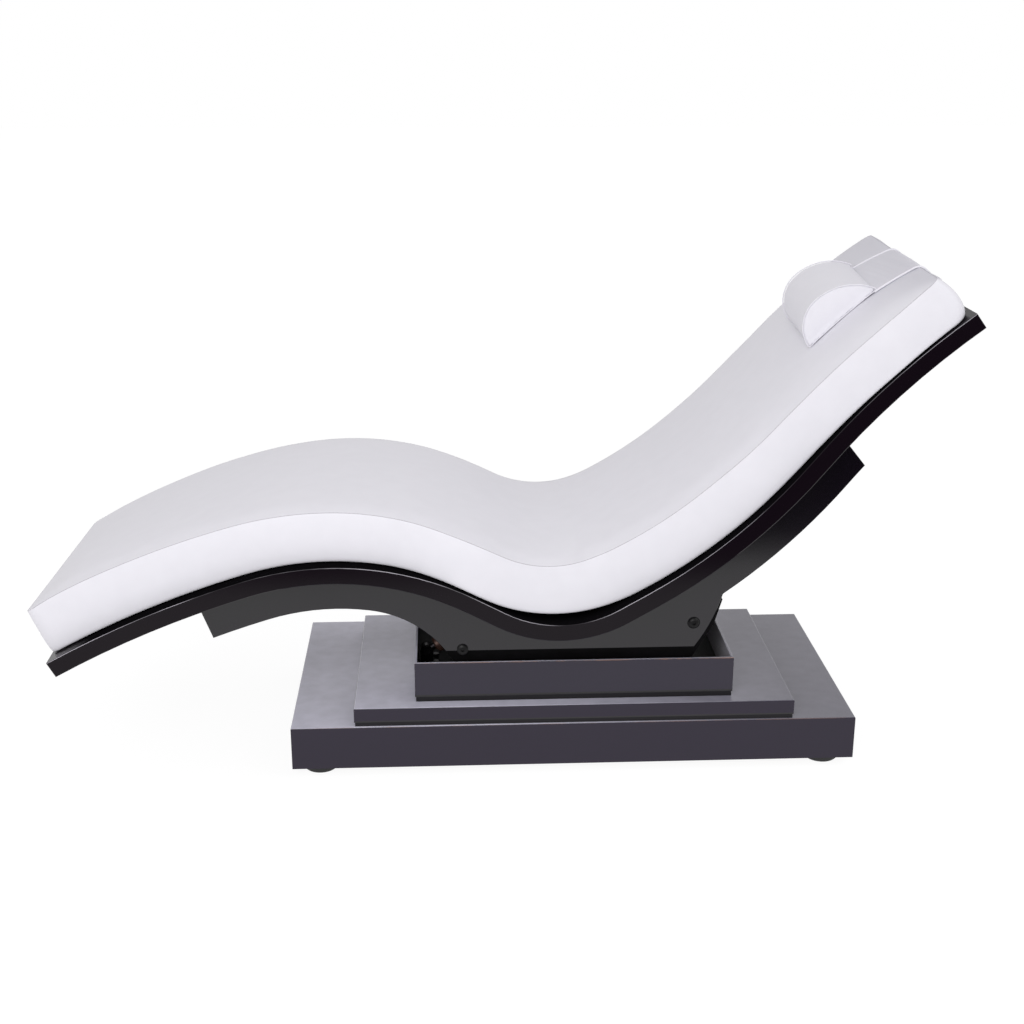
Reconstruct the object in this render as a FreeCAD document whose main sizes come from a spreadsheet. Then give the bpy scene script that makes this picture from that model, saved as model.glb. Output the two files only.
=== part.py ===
import FreeCAD, Part
import math
import os
from FreeCAD import Placement, Rotation, Vector

# Spa relaxation lounger: a bent, S-shaped deck with its mattress on two curved side rails,
# tilted by an electric actuator over a stepped plinth.
# Millimetres. +X runs to the head end, +Y to the lying user's right-hand side, +Z up.
# The origin is on the floor, under the middle of the whole lounger.

# Driving dimensions in millimetres
LENGTHS = {
    # Place of the plinth and of the bent deck
    "plinth_x": 175.21,
    "plinth_step_back": 31.0,
    "deck_foot_x": -1131.9,
    "deck_foot_height": 316.6,
    # Lower plinth, a box of boards
    "lower_length": 1264.0,
    "lower_depth": 614.0,
    "lower_height": 99.7,
    "lower_board": 18.0,
    "base_board_thickness": 15.0,
    "cross_member_width": 40.0,
    "cross_member_pitch": 420.0,
    # Middle plinth and the packing boards under the upper steps
    "middle_length": 983.0,
    "middle_depth": 545.2,
    "middle_height": 43.7,
    "middle_packing": 10.0,
    "packing_inset": 2.0,
    # Upper plinth, an open tray
    "tray_length": 712.0,
    "tray_depth": 486.8,
    "tray_height": 93.9,
    "tray_packing": 12.0,
    "tray_wall": 6.0,
    "plinth_edge_radius": 2.5,
    "tray_edge_radius": 1.2,
    # Glides under the plinth
    "glide_radius": 38.5,
    "glide_height": 21.6,
    "glide_chamfer": 3.0,
    "glide_end_inset": 60.0,
    "glide_side_inset": 57.0,
    # Bent deck, told by the lengths of its arcs and lines
    "deck_width": 676.0,
    "deck_thickness": 36.7,
    "deck_bevel": 1.5,
    "foot_arc": 460.0,
    "knee_arc": 504.1,
    "seat_front_line": 70.0,
    "seat_arc": 254.7,
    "seat_back_line": 70.0,
    "back_arc": 445.5,
    "head_arc": 440.5,
    # Side rails
    "rail_face": 480.0,
    "rail_thickness": 18.0,
    "rail_depth": 95.0,
    "rail_bevel": 1.0,
    "glue_gap": 0.3,
    "rail_foot_reach": 322.0,
    "rail_arch_reach": 739.0,
    "rail_back_start": 1480.0,
    "rail_head_reach": 1863.0,
    "rail_head_rake": 18.0,
    "toe_reach": 37.0,
    "heel_reach": 3.0,
    "heel_bow": 6.0,
    # Pivot axle, rest pegs and their cap heads
    "pivot_setback": 262.9,
    "pivot_height": 343.1,
    "peg_setback": -249.0,
    "peg_height": 289.3,
    "peg_rise": 3.8,
    "axle_radius": 10.0,
    "peg_radius": 8.0,
    "notch_clearance": 0.6,
    "seat_clearance": 0.3,
    "bore_clearance": 0.05,
    "cap_radius": 12.6,
    "cap_height": 6.0,
    "cap_edge_height": 2.0,
    "cap_socket_radius": 4.0,
    "cap_socket_depth": 3.5,
    "cap_shank_radius": 5.0,
    "cap_shank_length": 22.0,
    "cap_gap": 0.3,
    "bush_wall": 3.0,
    "bush_flange": 5.0,
    "bush_flange_thickness": 2.8,
    "peg_nut_radius": 14.0,
    "peg_nut_height": 10.0,
    # Cheek plates in the tray
    "cheek_gap": 3.0,
    "cheek_thickness": 12.0,
    "cheek_foot_front": 38.0,
    "cheek_foot_back": 38.0,
    "cheek_peg_margin": 22.0,
    "cheek_toe_run": 39.0,
    "cheek_toe_drop": 12.0,
    "cheek_toe_bow": 6.0,
    "cheek_saddle_drop": 48.0,
    "cheek_front_drop": 6.0,
    "cheek_ramp_start": 145.0,
    "cheek_head_run": 66.0,
    "cheek_head_rise": 46.0,
    "cheek_waist_run": 49.5,
    "cheek_waist_drop": 10.0,
    "angle_leg": 34.0,
    "angle_thickness": 4.0,
    "angle_end_inset": 30.0,
    "bolt_head_radius": 6.5,
    "bolt_head_height": 5.0,
    "bolt_shank_radius": 3.9,
    "bolt_spacing": 150.0,
    # Electric actuator and its brackets
    "drive_line": -60.0,
    "rod_pin_setback": -331.0,
    "rod_pin_height": 212.0,
    "lift_pin_setback": -145.0,
    "lift_pin_height": 322.0,
    "pin_radius": 5.0,
    "pin_head_radius": 8.0,
    "pin_head_height": 3.0,
    "open_pivot_clearance": 3.6,
    "rod_eye_radius": 14.5,
    "rod_eye_thickness": 16.0,
    "ear_gap": 1.0,
    "ear_thickness": 5.0,
    "ear_half_width": 14.0,
    "bracket_base_thickness": 5.0,
    "bracket_flange": 14.0,
    "rod_radius": 9.0,
    "rod_reach": 128.0,
    "tube_radius": 17.0,
    "tube_wall": 4.0,
    "tube_start": 54.0,
    "tube_end": 176.0,
    "collar_radius": 20.5,
    "collar_length": 16.0,
    "collar_lip": 4.0,
    "gearbox_start": 18.0,
    "gearbox_radius": 25.0,
    "gearbox_web": 2.0,
    "gearbox_eye_radius": 13.0,
    "gearbox_edge": 2.0,
    "motor_offset": 52.0,
    "motor_radius": 22.5,
    "motor_length": 104.0,
    "motor_cap_length": 10.0,
    "motor_cap_inset": 2.0,
    "lift_bar_radius": 11.0,
    "lift_bar_wall": 2.5,
    "lift_bar_offset": 30.0,
    "lug_margin": 5.0,
    "lift_flange_radius": 19.0,
    "lift_flange_thickness": 2.8,
    # Cross rails and cleats under the deck
    "cross_rail_width": 60.0,
    "cross_rail_height": 25.0,
    "cross_rail_edge": 2.0,
    "foot_cross_reach": 400.0,
    "knee_cross_reach": 700.0,
    "back_cross_reach": 1640.0,
    "head_cross_reach": 1800.0,
    "cleat_leg": 34.0,
    "cleat_thickness": 3.0,
    "cleat_width": 38.0,
    "cleat_gap": 0.2,
    # Control box and mains inlet
    "box_length": 150.0,
    "box_width": 84.0,
    "box_height": 34.0,
    "box_lid": 7.0,
    "box_edge": 4.0,
    "box_setback": 120.0,
    "box_side": 20.0,
    "inlet_length": 48.0,
    "inlet_height": 28.0,
    "inlet_depth": 20.0,
    "inlet_flange": 6.0,
    "inlet_flange_thickness": 3.0,
    "inlet_recess": 12.0,
    "inlet_recess_margin": 5.0,
    "inlet_setback": 500.0,
    "inlet_rise": 34.0,
    "inlet_blade_width": 5.0,
    "inlet_blade_thickness": 2.0,
    "inlet_blade_pitch": 9.0,
    # Hook strips that hold the mattress
    "hook_thickness": 2.0,
    "hook_width": 50.0,
    "hook_line": 210.0,
    "hook_inset": 60.0,
    # Mattress
    "mattress_width": 630.0,
    "mattress_thickness": 105.0,
    "mattress_lift": 2.4,
    "mattress_relief": 96.0,
    "mattress_foot_inset": 9.0,
    "mattress_head_inset": 9.0,
    "mattress_side_bulge": 5.0,
    "mattress_base_draw": 4.0,
    "mattress_base_radius": 8.0,
    "crown_rise": 14.0,
    "crown_shoulder_width": 52.0,
    "crown_shoulder_drop": 10.0,
    "head_top_inset": 8.0,
    "head_end_bow": 15.0,
    "foot_top_inset": 16.0,
    "foot_end_bow": 8.0,
    "cutter_margin": 60.0,
    # Neck pillow, flap and counterweight
    "pillow_length": 236.0,
    "pillow_line": -58.0,
    "pillow_base": 173.0,
    "pillow_height": 71.5,
    "pillow_peak_run": 76.0,
    "pillow_head_distance": 108.0,
    "pillow_edge_radius": 6.0,
    "flap_thickness": 5.0,
    "flap_seam_gap": 0.3,
    "flap_fold_inset": 14.0,
    "flap_drop": 64.0,
    "flap_hem_radius": 8.0,
    "soft_gap": 0.4,
    # Shared working values
    "cut_overrun": 5.0,
}

# Driving angles in degrees
ANGLES = {
    "foot_slope": 28.7,
    "foot_turn": -11.8,
    "knee_turn": -45.1,
    "seat_turn": 58.1,
    "back_turn": 21.8,
    "head_turn": -14.9,
}

# Shares of the length of a rail's span at which its deck cleats sit
CLEAT_SHARES = (0.12, 0.36, 0.72, 0.9)
# Tolerance, in millimetres, for finding an edge or face by its place
NEAR = 0.01

doc = FreeCAD.newDocument("Lounger")
sheet = doc.addObject("Spreadsheet::Sheet", "Dimensions")
for row, (alias, number) in enumerate({**LENGTHS, **ANGLES}.items(), start=1):
    sheet.set(f"A{row}", alias.replace("_", " "))
    sheet.set(f"B{row}", str(number))
    sheet.setAlias(f"B{row}", alias)
doc.recompute()


def dim(alias):
    """Return the value of a driving dimension, read from the sheet."""
    return float(sheet.get(alias))


nodes = []


def finish(piece, label):
    """Give a finished sub-part its node name and add it to the export."""
    piece.Label = label
    nodes.append(piece)
    return piece


def bind(piece, **expressions):
    """Bind properties of a piece to expressions on the sheet's aliases."""
    for name, text in expressions.items():
        piece.setExpression(name, text)
    return piece


def on_sheet(text):
    """Prefix every alias in an expression with the name of the sheet."""
    words = []
    for word in text.replace("(", " ( ").replace(")", " ) ").split():
        known = word in LENGTHS or word in ANGLES
        words.append(f"Dimensions.{word}" if known else word)
    return " ".join(words)


def place(piece, x_text, y_text, z_text):
    """Bind the place of a piece to three expressions."""
    for axis, text in zip("xyz", (x_text, y_text, z_text)):
        piece.setExpression(f".Placement.Base.{axis}", on_sheet(text))
    return piece


# Frames that the shapes are drawn in

class Curve:
    """A run of tangent lines and arcs in the X-Z plane, measured along its length."""

    def __init__(self, x, z, slope, pieces):
        self.pieces = []
        start = 0.0
        for length, turn in pieces:
            self.pieces.append((start, length, math.radians(turn), slope, x, z))
            x, z = self._along(length, length, math.radians(turn), slope, x, z)
            start += length
            slope += math.radians(turn)
        self.length = start

    @staticmethod
    def _along(distance, length, turn, slope, x, z):
        """Return the point at a distance along one piece."""
        if not turn:
            return x + distance * math.cos(slope), z + distance * math.sin(slope)
        radius = length / turn
        angle = slope + distance / radius
        return (x + radius * (math.sin(angle) - math.sin(slope)),
                z - radius * (math.cos(angle) - math.cos(slope)))

    def _piece_at(self, reach):
        """Return the piece that holds a distance along the curve."""
        held = self.pieces[0]
        for piece in self.pieces:
            if piece[0] <= reach:
                held = piece
        return held

    def slope(self, reach):
        """Return the slope in radians at a distance along the curve."""
        start, length, turn, slope, _, _ = self._piece_at(reach)
        return slope + turn * (reach - start) / length

    def point(self, reach, rise=0.0):
        """Return the point at a distance along the curve, raised square to it."""
        start, length, turn, slope, x, z = self._piece_at(reach)
        px, pz = self._along(reach - start, length, turn, slope, x, z)
        angle = self.slope(reach)
        return Vector(px - rise * math.sin(angle), pz + rise * math.cos(angle), 0)

    def spans(self, first, last):
        """Return the stretches of each piece between two distances, with their turns."""
        found = []
        for start, length, turn, _, _, _ in self.pieces:
            low = max(first, start)
            high = min(last, start + length)
            if high - low > NEAR:
                found.append((low, high, turn))
        return found

    def edges(self, rise, first, last):
        """Return the lines and arcs at a rise over the curve, from first to last."""
        drawn = []
        for low, high, turn in self.spans(first, last):
            begin = self.point(low, rise)
            end = self.point(high, rise)
            if turn:
                drawn.append(Part.Arc(begin, self.point((low + high) / 2, rise), end))
            else:
                drawn.append(Part.LineSegment(begin, end))
        return drawn


def bowed(begin, end, bow):
    """Return an arc from begin to end that bows to the right of their line."""
    run = end.sub(begin)
    side = Vector(run.y, -run.x, 0).normalize()
    return Part.Arc(begin, (begin + end) / 2 + side * bow, end)


def level_arc(corner, peak, up):
    """Return the arc from a corner that arrives at a peak square to the way up."""
    run = peak.sub(corner)
    radius = run.Length ** 2 / (2 * run.dot(up))
    centre = peak - up * radius
    halfway = (corner.sub(centre).normalize() + up).normalize()
    return Part.Arc(corner, centre + halfway * radius, peak)


def line(begin, end):
    """Return a straight line between two points."""
    return Part.LineSegment(begin, end)


def backwards(drawn):
    """Return a run of lines and arcs in the opposite order."""
    turned = []
    for item in reversed(drawn):
        begin = item.EndPoint
        end = item.StartPoint
        if isinstance(item, Part.Arc):
            middle = item.value((item.FirstParameter + item.LastParameter) / 2)
            turned.append(Part.Arc(begin, middle, end))
        else:
            turned.append(line(begin, end))
    return turned


# Ways of making a sub-part

def plane_of(body, role):
    """Return one of a body's own origin planes."""
    return next(item for item in body.Origin.OriginFeatures if item.Role == role)


def sketch_on(body, role, drawn, name="Sketch"):
    """Draw closed outlines in a sketch on one of a body's origin planes."""
    sketch = body.newObject("Sketcher::SketchObject", name)
    sketch.AttachmentSupport = [(plane_of(body, role), "")]
    sketch.MapMode = "FlatFace"
    sketch.addGeometry(drawn, False)
    return sketch


def profile_body(label, drawn, width_text, y_text="0 mm"):
    """Make a sub-part by padding an X-Z outline to both sides of its own centre plane."""
    body = doc.addObject("PartDesign::Body", label)
    sketch = sketch_on(body, "XZ_Plane", drawn, "Outline")
    pad = body.newObject("PartDesign::Pad", "Thickness")
    pad.Profile = sketch
    pad.Midplane = True
    pad.setExpression("Length", on_sheet(width_text))
    body.Tip = pad
    body.setExpression(".Placement.Base.y", on_sheet(y_text))
    doc.recompute()
    return body


def edge_names(shape, test):
    """Return the names of the edges whose middle and direction pass a test."""
    names = []
    for number, edge in enumerate(shape.Edges, start=1):
        middle = edge.valueAt((edge.FirstParameter + edge.LastParameter) / 2)
        if test(edge, middle):
            names.append(f"Edge{number}")
    return names


def dress(body, kind, size_property, size_alias, test):
    """Add a fillet or chamfer to the edges of a body that pass a test."""
    base = body.Tip
    names = edge_names(base.Shape, test)
    dressing = body.newObject(kind, kind.split("::")[1])
    dressing.Base = (base, names)
    dressing.setExpression(size_property, on_sheet(size_alias))
    body.Tip = dressing
    doc.recompute()
    return dressing


def chamfer(body, size_alias, test):
    """Chamfer the edges of a body that pass a test."""
    return dress(body, "PartDesign::Chamfer", "Size", size_alias, test)


def fillet(body, size_alias, test):
    """Round the edges of a body that pass a test."""
    return dress(body, "PartDesign::Fillet", "Radius", size_alias, test)


def board(label, length_text, width_text, height_text, x_text, y_text, z_text):
    """Make a plain board, told by its size and its lowest corner."""
    piece = doc.addObject("Part::Box", label)
    bind(piece, Length=on_sheet(length_text), Width=on_sheet(width_text), Height=on_sheet(height_text))
    place(piece, x_text, y_text, z_text)
    return piece


def rounded(label, base, radius_alias, test):
    """Round the edges of a Part primitive that pass a test."""
    doc.recompute()
    piece = doc.addObject("Part::Fillet", label)
    piece.Base = base
    radius = dim(radius_alias)
    picked = edge_names(base.Shape, test)
    piece.Edges = [(int(name[len("Edge"):]), radius, radius) for name in picked]
    return piece


def turned_piece(label, outline, role="XZ_Plane", axis="V_Axis"):
    """Make a round sub-part by revolving an outline about an axis of its sketch."""
    body = doc.addObject("PartDesign::Body", label)
    sketch = sketch_on(body, role, outline, "Outline")
    turn = body.newObject("PartDesign::Revolution", "Turned")
    turn.Profile = sketch
    turn.ReferenceAxis = (sketch, [axis])
    body.Tip = turn
    doc.recompute()
    return body


def closed(points):
    """Return the straight outline through a ring of points."""
    return [line(begin, end) for begin, end in zip(points, points[1:] + points[:1])]


def across(length, radius, x, y, z):
    """Return a cylinder that lies along Y, centred on a point."""
    base = Vector(x, y - length / 2, z)
    return Part.makeCylinder(radius, length, base, Vector(0, 1, 0))


def feature(label, shape):
    """Make a sub-part whose shape is put together from solids."""
    piece = doc.addObject("Part::Feature", label)
    piece.Shape = shape
    return piece


# Heights and lines that several pieces share
plinth_x = dim("plinth_x")
floor_of_lower = dim("glide_height")
top_of_lower = floor_of_lower + dim("lower_height")
top_of_middle = top_of_lower + dim("middle_height")
floor_of_tray = top_of_middle + dim("tray_packing")
top_of_tray = top_of_middle + dim("tray_height")
tray_bed = floor_of_tray + dim("tray_wall")
rail_centre = (dim("rail_face") - dim("rail_thickness")) / 2
rail_inside = rail_centre - dim("rail_thickness") / 2
cheek_outside = rail_inside - dim("cheek_gap")
cheek_inside = cheek_outside - dim("cheek_thickness")
pivot = Vector(plinth_x + dim("pivot_setback"), dim("pivot_height"), 0)
peg = Vector(plinth_x + dim("peg_setback"), dim("peg_height"), 0)
rail_floor = peg.y - dim("peg_rise")
SIDES = {"left": -1, "right": 1}

deck_curve = Curve(
    plinth_x + dim("deck_foot_x"), dim("deck_foot_height"), math.radians(dim("foot_slope")),
    [(dim("foot_arc"), dim("foot_turn")), (dim("knee_arc"), dim("knee_turn")),
     (dim("seat_front_line"), 0), (dim("seat_arc"), dim("seat_turn")),
     (dim("seat_back_line"), 0), (dim("back_arc"), dim("back_turn")),
     (dim("head_arc"), dim("head_turn"))])


def mattress_line():
    """Return the mattress's base line: the deck's curve, with a wider bend over the seat."""
    lift = dim("mattress_lift")
    turn = math.radians(dim("seat_turn"))
    radius = dim("seat_arc") / turn - lift
    relief = dim("mattress_relief")
    shift = relief * math.tan(turn / 2)
    start = deck_curve.point(0, lift)
    foot = dim("foot_arc") - lift * math.radians(dim("foot_turn"))
    knee = dim("knee_arc") - lift * math.radians(dim("knee_turn"))
    back = dim("back_arc") - lift * math.radians(dim("back_turn"))
    head = dim("head_arc") - lift * math.radians(dim("head_turn"))
    return Curve(
        start.x, start.y, math.radians(dim("foot_slope")),
        [(foot, dim("foot_turn")), (knee, dim("knee_turn")),
         (max(dim("seat_front_line") - shift, NEAR), 0), ((radius + relief) * turn, dim("seat_turn")),
         (max(dim("seat_back_line") - shift, NEAR), 0), (back, dim("back_turn")),
         (head, dim("head_turn"))])


mattress_curve = mattress_line()


# Plinth

def make_glides():
    """Make the four round glides that the plinth stands on."""
    radius = dim("glide_radius")
    height = dim("glide_height")
    bevel = dim("glide_chamfer")
    outline = closed([
        Vector(0, 0, 0), Vector(radius - bevel, 0, 0), Vector(radius, bevel, 0),
        Vector(radius, height, 0), Vector(0, height, 0)])
    ends = {"foot": "plinth_x - lower_length / 2 + glide_end_inset",
            "head": "plinth_x + lower_length / 2 - glide_end_inset"}
    sides = {"left": "plinth_step_back - lower_depth / 2 + glide_side_inset",
             "right": "plinth_step_back + lower_depth / 2 - glide_side_inset"}
    for end, x_text in ends.items():
        for side, y_text in sides.items():
            glide = turned_piece(f"glide_{end}_{side}", outline)
            place(glide, x_text, y_text, "0 mm")
            finish(glide, f"glide_{end}_{side}")


def make_lower_plinth():
    """Make the lower plinth: a top board, four skirts, cross members and a base board."""
    left = "plinth_step_back - lower_depth / 2"
    foot = "plinth_x - lower_length / 2"
    skirt_height = "lower_height - lower_board"
    inner_depth = "lower_depth - 2 * lower_board"
    top = board("lower_top_blank", "lower_length", "lower_depth", "lower_board", foot, left,
                "glide_height + lower_height - lower_board")
    crest = top_of_lower
    finish(rounded("lower_top_board", top, "plinth_edge_radius",
                   lambda edge, middle: middle.z > crest - NEAR), "lower_top_board")
    finish(board("lower_left_skirt", "lower_length", "lower_board", skirt_height, foot, left,
                 "glide_height"), "lower_left_skirt")
    far = "plinth_step_back + lower_depth / 2 - lower_board"
    back = board("lower_right_blank", "lower_length", "lower_board", skirt_height, foot, far, "glide_height")
    opening = board("inlet_cut_out", "inlet_length + 2 * bore_clearance", "lower_board + 2 * cut_overrun",
                    "inlet_height + 2 * bore_clearance",
                    "plinth_x + inlet_setback - inlet_length / 2 - bore_clearance",
                    "plinth_step_back + lower_depth / 2 - lower_board - cut_overrun",
                    "glide_height + inlet_rise - bore_clearance")
    cut = doc.addObject("Part::Cut", "lower_right_skirt")
    cut.Base = back
    cut.Tool = opening
    finish(cut, "lower_right_skirt")
    inner_left = "plinth_step_back - lower_depth / 2 + lower_board"
    finish(board("lower_foot_skirt", "lower_board", inner_depth, skirt_height, foot, inner_left,
                 "glide_height"), "lower_foot_skirt")
    finish(board("lower_head_skirt", "lower_board", inner_depth, skirt_height,
                 "plinth_x + lower_length / 2 - lower_board", inner_left, "glide_height"), "lower_head_skirt")
    finish(board("base_board", "lower_length - 2 * lower_board", inner_depth, "base_board_thickness",
                 "plinth_x - lower_length / 2 + lower_board", inner_left, "glide_height"), "base_board")
    members = []
    for number in (-1, 0, 1):
        members.append(board(
            f"cross_member_{number + 2}", "cross_member_width", inner_depth,
            "lower_height - lower_board - base_board_thickness",
            f"plinth_x - cross_member_width / 2 + {number} * cross_member_pitch", inner_left,
            "glide_height + base_board_thickness"))
    group("cross_members", members)


def make_steps():
    """Make the middle step and the two dark packing boards under the upper steps."""
    finish(board("middle_packing_board", "middle_length - 2 * packing_inset",
                 "middle_depth - 2 * packing_inset", "middle_packing",
                 "plinth_x - middle_length / 2 + packing_inset", "packing_inset - middle_depth / 2",
                 "glide_height + lower_height"), "middle_packing_board")
    middle = board("middle_blank", "middle_length", "middle_depth", "middle_height - middle_packing",
                   "plinth_x - middle_length / 2", "0 - middle_depth / 2",
                   "glide_height + lower_height + middle_packing")
    finish(rounded("middle_board", middle, "plinth_edge_radius",
                   lambda edge, at: at.z > top_of_middle - NEAR), "middle_board")
    finish(board("tray_packing_board", "tray_length - 2 * packing_inset",
                 "tray_depth - 2 * packing_inset", "tray_packing",
                 "plinth_x - tray_length / 2 + packing_inset", "packing_inset - tray_depth / 2",
                 "glide_height + lower_height + middle_height"), "tray_packing_board")


def make_tray():
    """Make the open tray from its bed and four walls with softened rims."""
    bed_height = "glide_height + lower_height + middle_height + tray_packing"
    wall_height = "tray_height - tray_packing"
    foot = "plinth_x - tray_length / 2"
    finish(board("tray_bed", "tray_length - 2 * tray_wall", "tray_depth - 2 * tray_wall", "tray_wall",
                 "plinth_x - tray_length / 2 + tray_wall", "tray_wall - tray_depth / 2", bed_height), "tray_bed")
    walls = {
        "tray_left_wall": ("tray_length", "tray_wall", foot, "0 - tray_depth / 2"),
        "tray_right_wall": ("tray_length", "tray_wall", foot, "tray_depth / 2 - tray_wall"),
        "tray_foot_wall": ("tray_wall", "tray_depth - 2 * tray_wall", foot, "tray_wall - tray_depth / 2"),
        "tray_head_wall": ("tray_wall", "tray_depth - 2 * tray_wall", "plinth_x + tray_length / 2 - tray_wall",
                           "tray_wall - tray_depth / 2"),
    }
    for label, (length, width, x_text, y_text) in walls.items():
        blank = board(f"{label}_blank", length, width, wall_height, x_text, y_text, bed_height)
        along_x = length == "tray_length"
        finish(rounded(label, blank, "tray_edge_radius",
                       lambda edge, at, along_x=along_x: at.z > top_of_tray - NEAR
                       and edge.Length > dim("tray_wall") + NEAR), label)


# Cheek plates, pivot and rest pegs

def cheek_outline():
    """Return the outline of a cheek plate, with its holes for the axle and the peg."""
    saddle = pivot.y - dim("cheek_saddle_drop")
    front_foot = Vector(peg.x + dim("cheek_foot_front"), tray_bed, 0)
    back_foot = Vector(pivot.x - dim("cheek_foot_back"), tray_bed, 0)
    waist = Vector(pivot.x + dim("cheek_waist_run"), pivot.y - dim("cheek_waist_drop"), 0)
    head = Vector(pivot.x + dim("cheek_head_run"), pivot.y + dim("cheek_head_rise"), 0)
    brow = Vector(pivot.x, pivot.y + dim("cheek_head_rise"), 0)
    ramp = Vector(pivot.x - dim("cheek_ramp_start"), saddle, 0)
    toe_back = Vector(peg.x + dim("cheek_toe_run"), saddle, 0)
    toe_crown = Vector(peg.x, peg.y + dim("cheek_peg_margin"), 0)
    toe_front = Vector(peg.x - dim("cheek_toe_run"), peg.y - dim("cheek_toe_drop"), 0)
    outline = [
        line(front_foot, back_foot), line(back_foot, waist), line(waist, head), line(head, brow),
        bowed(brow, ramp, -dim("cheek_front_drop")), line(ramp, toe_back),
        bowed(toe_back, toe_crown, dim("cheek_toe_bow") / 2),
        bowed(toe_crown, toe_front, dim("cheek_toe_bow")), line(toe_front, front_foot)]
    clearance = dim("bore_clearance")
    normal = Vector(0, 0, 1)
    outline.append(Part.Circle(pivot, normal, dim("axle_radius") + clearance))
    outline.append(Part.Circle(peg, normal, dim("peg_radius") + clearance))
    return outline


def make_cheeks():
    """Make the two cheek plates, the angles that hold them down and their bolts."""
    outline = cheek_outline()
    for side, sign in SIDES.items():
        lateral = f"{sign} * ( rail_face / 2 - rail_thickness - cheek_gap - cheek_thickness / 2 )"
        cheek = profile_body(f"pivot_cheek_{side}", outline, "cheek_thickness", lateral)
        finish(cheek, f"pivot_cheek_{side}")
    leg = dim("angle_leg")
    wall = dim("angle_thickness")
    begin = peg.x + dim("cheek_foot_front") + dim("angle_end_inset")
    end = pivot.x - dim("cheek_foot_back") - dim("angle_end_inset")
    clearance = dim("bore_clearance")
    bolts = []
    for side, sign in SIDES.items():
        face = cheek_inside * sign
        ring = [(0, 0), (leg, 0), (leg, wall), (wall, wall), (wall, leg), (0, leg)]
        points = [Vector(begin, face - sign * inward, tray_bed + up) for inward, up in ring]
        section = Part.Face(Part.makePolygon(points + points[:1]))
        angle = section.extrude(Vector(end - begin, 0, 0))
        middle = (begin + end) / 2
        for step in (-1, 0, 1):
            x = middle + step * dim("bolt_spacing")
            z = tray_bed + (leg + wall) / 2
            hole_length = wall + 2 * dim("cut_overrun")
            angle = angle.cut(across(hole_length, dim("bolt_shank_radius") + clearance, x,
                                     face - sign * wall / 2, z))
            head_y = face - sign * (wall + dim("bolt_head_height") / 2)
            bolts.append(across(dim("bolt_head_height"), dim("bolt_head_radius"), x, head_y, z).fuse(
                across(wall, dim("bolt_shank_radius"), x, face - sign * wall / 2, z)))
        finish(feature(f"cheek_angle_{side}", angle), f"cheek_angle_{side}")
    finish(feature("cheek_bolts", Part.makeCompound(bolts)), "cheek_bolts")


def cap_outline():
    """Return the outline of a domed cap head with a socket and a shank."""
    radius = dim("cap_radius")
    height = dim("cap_height")
    edge = dim("cap_edge_height")
    shank = dim("cap_shank_radius")
    socket = dim("cap_socket_radius")
    sink = height - dim("cap_socket_depth")
    length = dim("cap_shank_length")
    crown = Vector(radius * math.cos(math.pi / 4), edge + (height - edge) * math.sin(math.pi / 4), 0)
    return [
        line(Vector(0, -length, 0), Vector(shank, -length, 0)),
        line(Vector(shank, -length, 0), Vector(shank, 0, 0)),
        line(Vector(shank, 0, 0), Vector(radius, 0, 0)),
        line(Vector(radius, 0, 0), Vector(radius, edge, 0)),
        Part.Arc(Vector(radius, edge, 0), crown, Vector(socket, height, 0)),
        line(Vector(socket, height, 0), Vector(socket, sink, 0)),
        line(Vector(socket, sink, 0), Vector(0, sink, 0)),
        line(Vector(0, sink, 0), Vector(0, -length, 0))]


def group(label, pieces):
    """Make one node of several identical pieces."""
    joined = doc.addObject("Part::Compound", label)
    joined.Links = pieces
    return finish(joined, label)


def hexagon(radius, centre, y, depth):
    """Return a hexagonal prism along Y, told by its corner radius."""
    points = []
    for corner in range(6):
        angle = math.tau * corner / 6
        points.append(Vector(centre.x + radius * math.cos(angle), y, centre.y + radius * math.sin(angle)))
    return Part.Face(Part.makePolygon(points + points[:1])).extrude(Vector(0, depth, 0))


def make_pivot():
    """Make the pivot axle, the rest pegs with their nuts, and the cap heads outside."""
    clearance = dim("bore_clearance")
    end = dim("rail_face") / 2 + dim("cap_gap")
    socket_length = dim("cap_shank_length") + clearance
    socket_radius = dim("cap_shank_radius") + clearance
    axle = across(2 * end, dim("axle_radius"), pivot.x, 0, pivot.y)
    pegs = []
    nuts = []
    for sign in SIDES.values():
        socket_y = sign * (end - socket_length / 2)
        axle = axle.cut(across(socket_length, socket_radius, pivot.x, socket_y, pivot.y))
        inner = cheek_inside - dim("peg_nut_height")
        pin = across(end - inner, dim("peg_radius"), peg.x, sign * (end + inner) / 2, peg.y)
        pegs.append(pin.cut(across(socket_length, socket_radius, peg.x, socket_y, peg.y)))
        nut = hexagon(dim("peg_nut_radius"), peg, sign * cheek_inside, -sign * dim("peg_nut_height"))
        bore = across(2 * cheek_outside, dim("peg_radius") + clearance, peg.x, sign * cheek_inside, peg.y)
        nuts.append(nut.cut(bore))
    finish(feature("pivot_axle", axle), "pivot_axle")
    finish(feature("rest_pegs", Part.makeCompound(pegs)), "rest_pegs")
    finish(feature("peg_nuts", Part.makeCompound(nuts)), "peg_nuts")
    outline = cap_outline()
    for label, centre in (("pivot_caps", pivot), ("peg_caps", peg)):
        caps = []
        for side, sign in SIDES.items():
            cap = turned_piece(f"{label}_{side}", outline)
            quarter = Rotation(Vector(1, 0, 0), Vector(0, 0, 1), Vector(0, sign, 0), "XZY")
            cap.Placement = Placement(Vector(centre.x, sign * end, centre.y), quarter)
            caps.append(cap)
        group(label, caps)


# Side rails and deck

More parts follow.
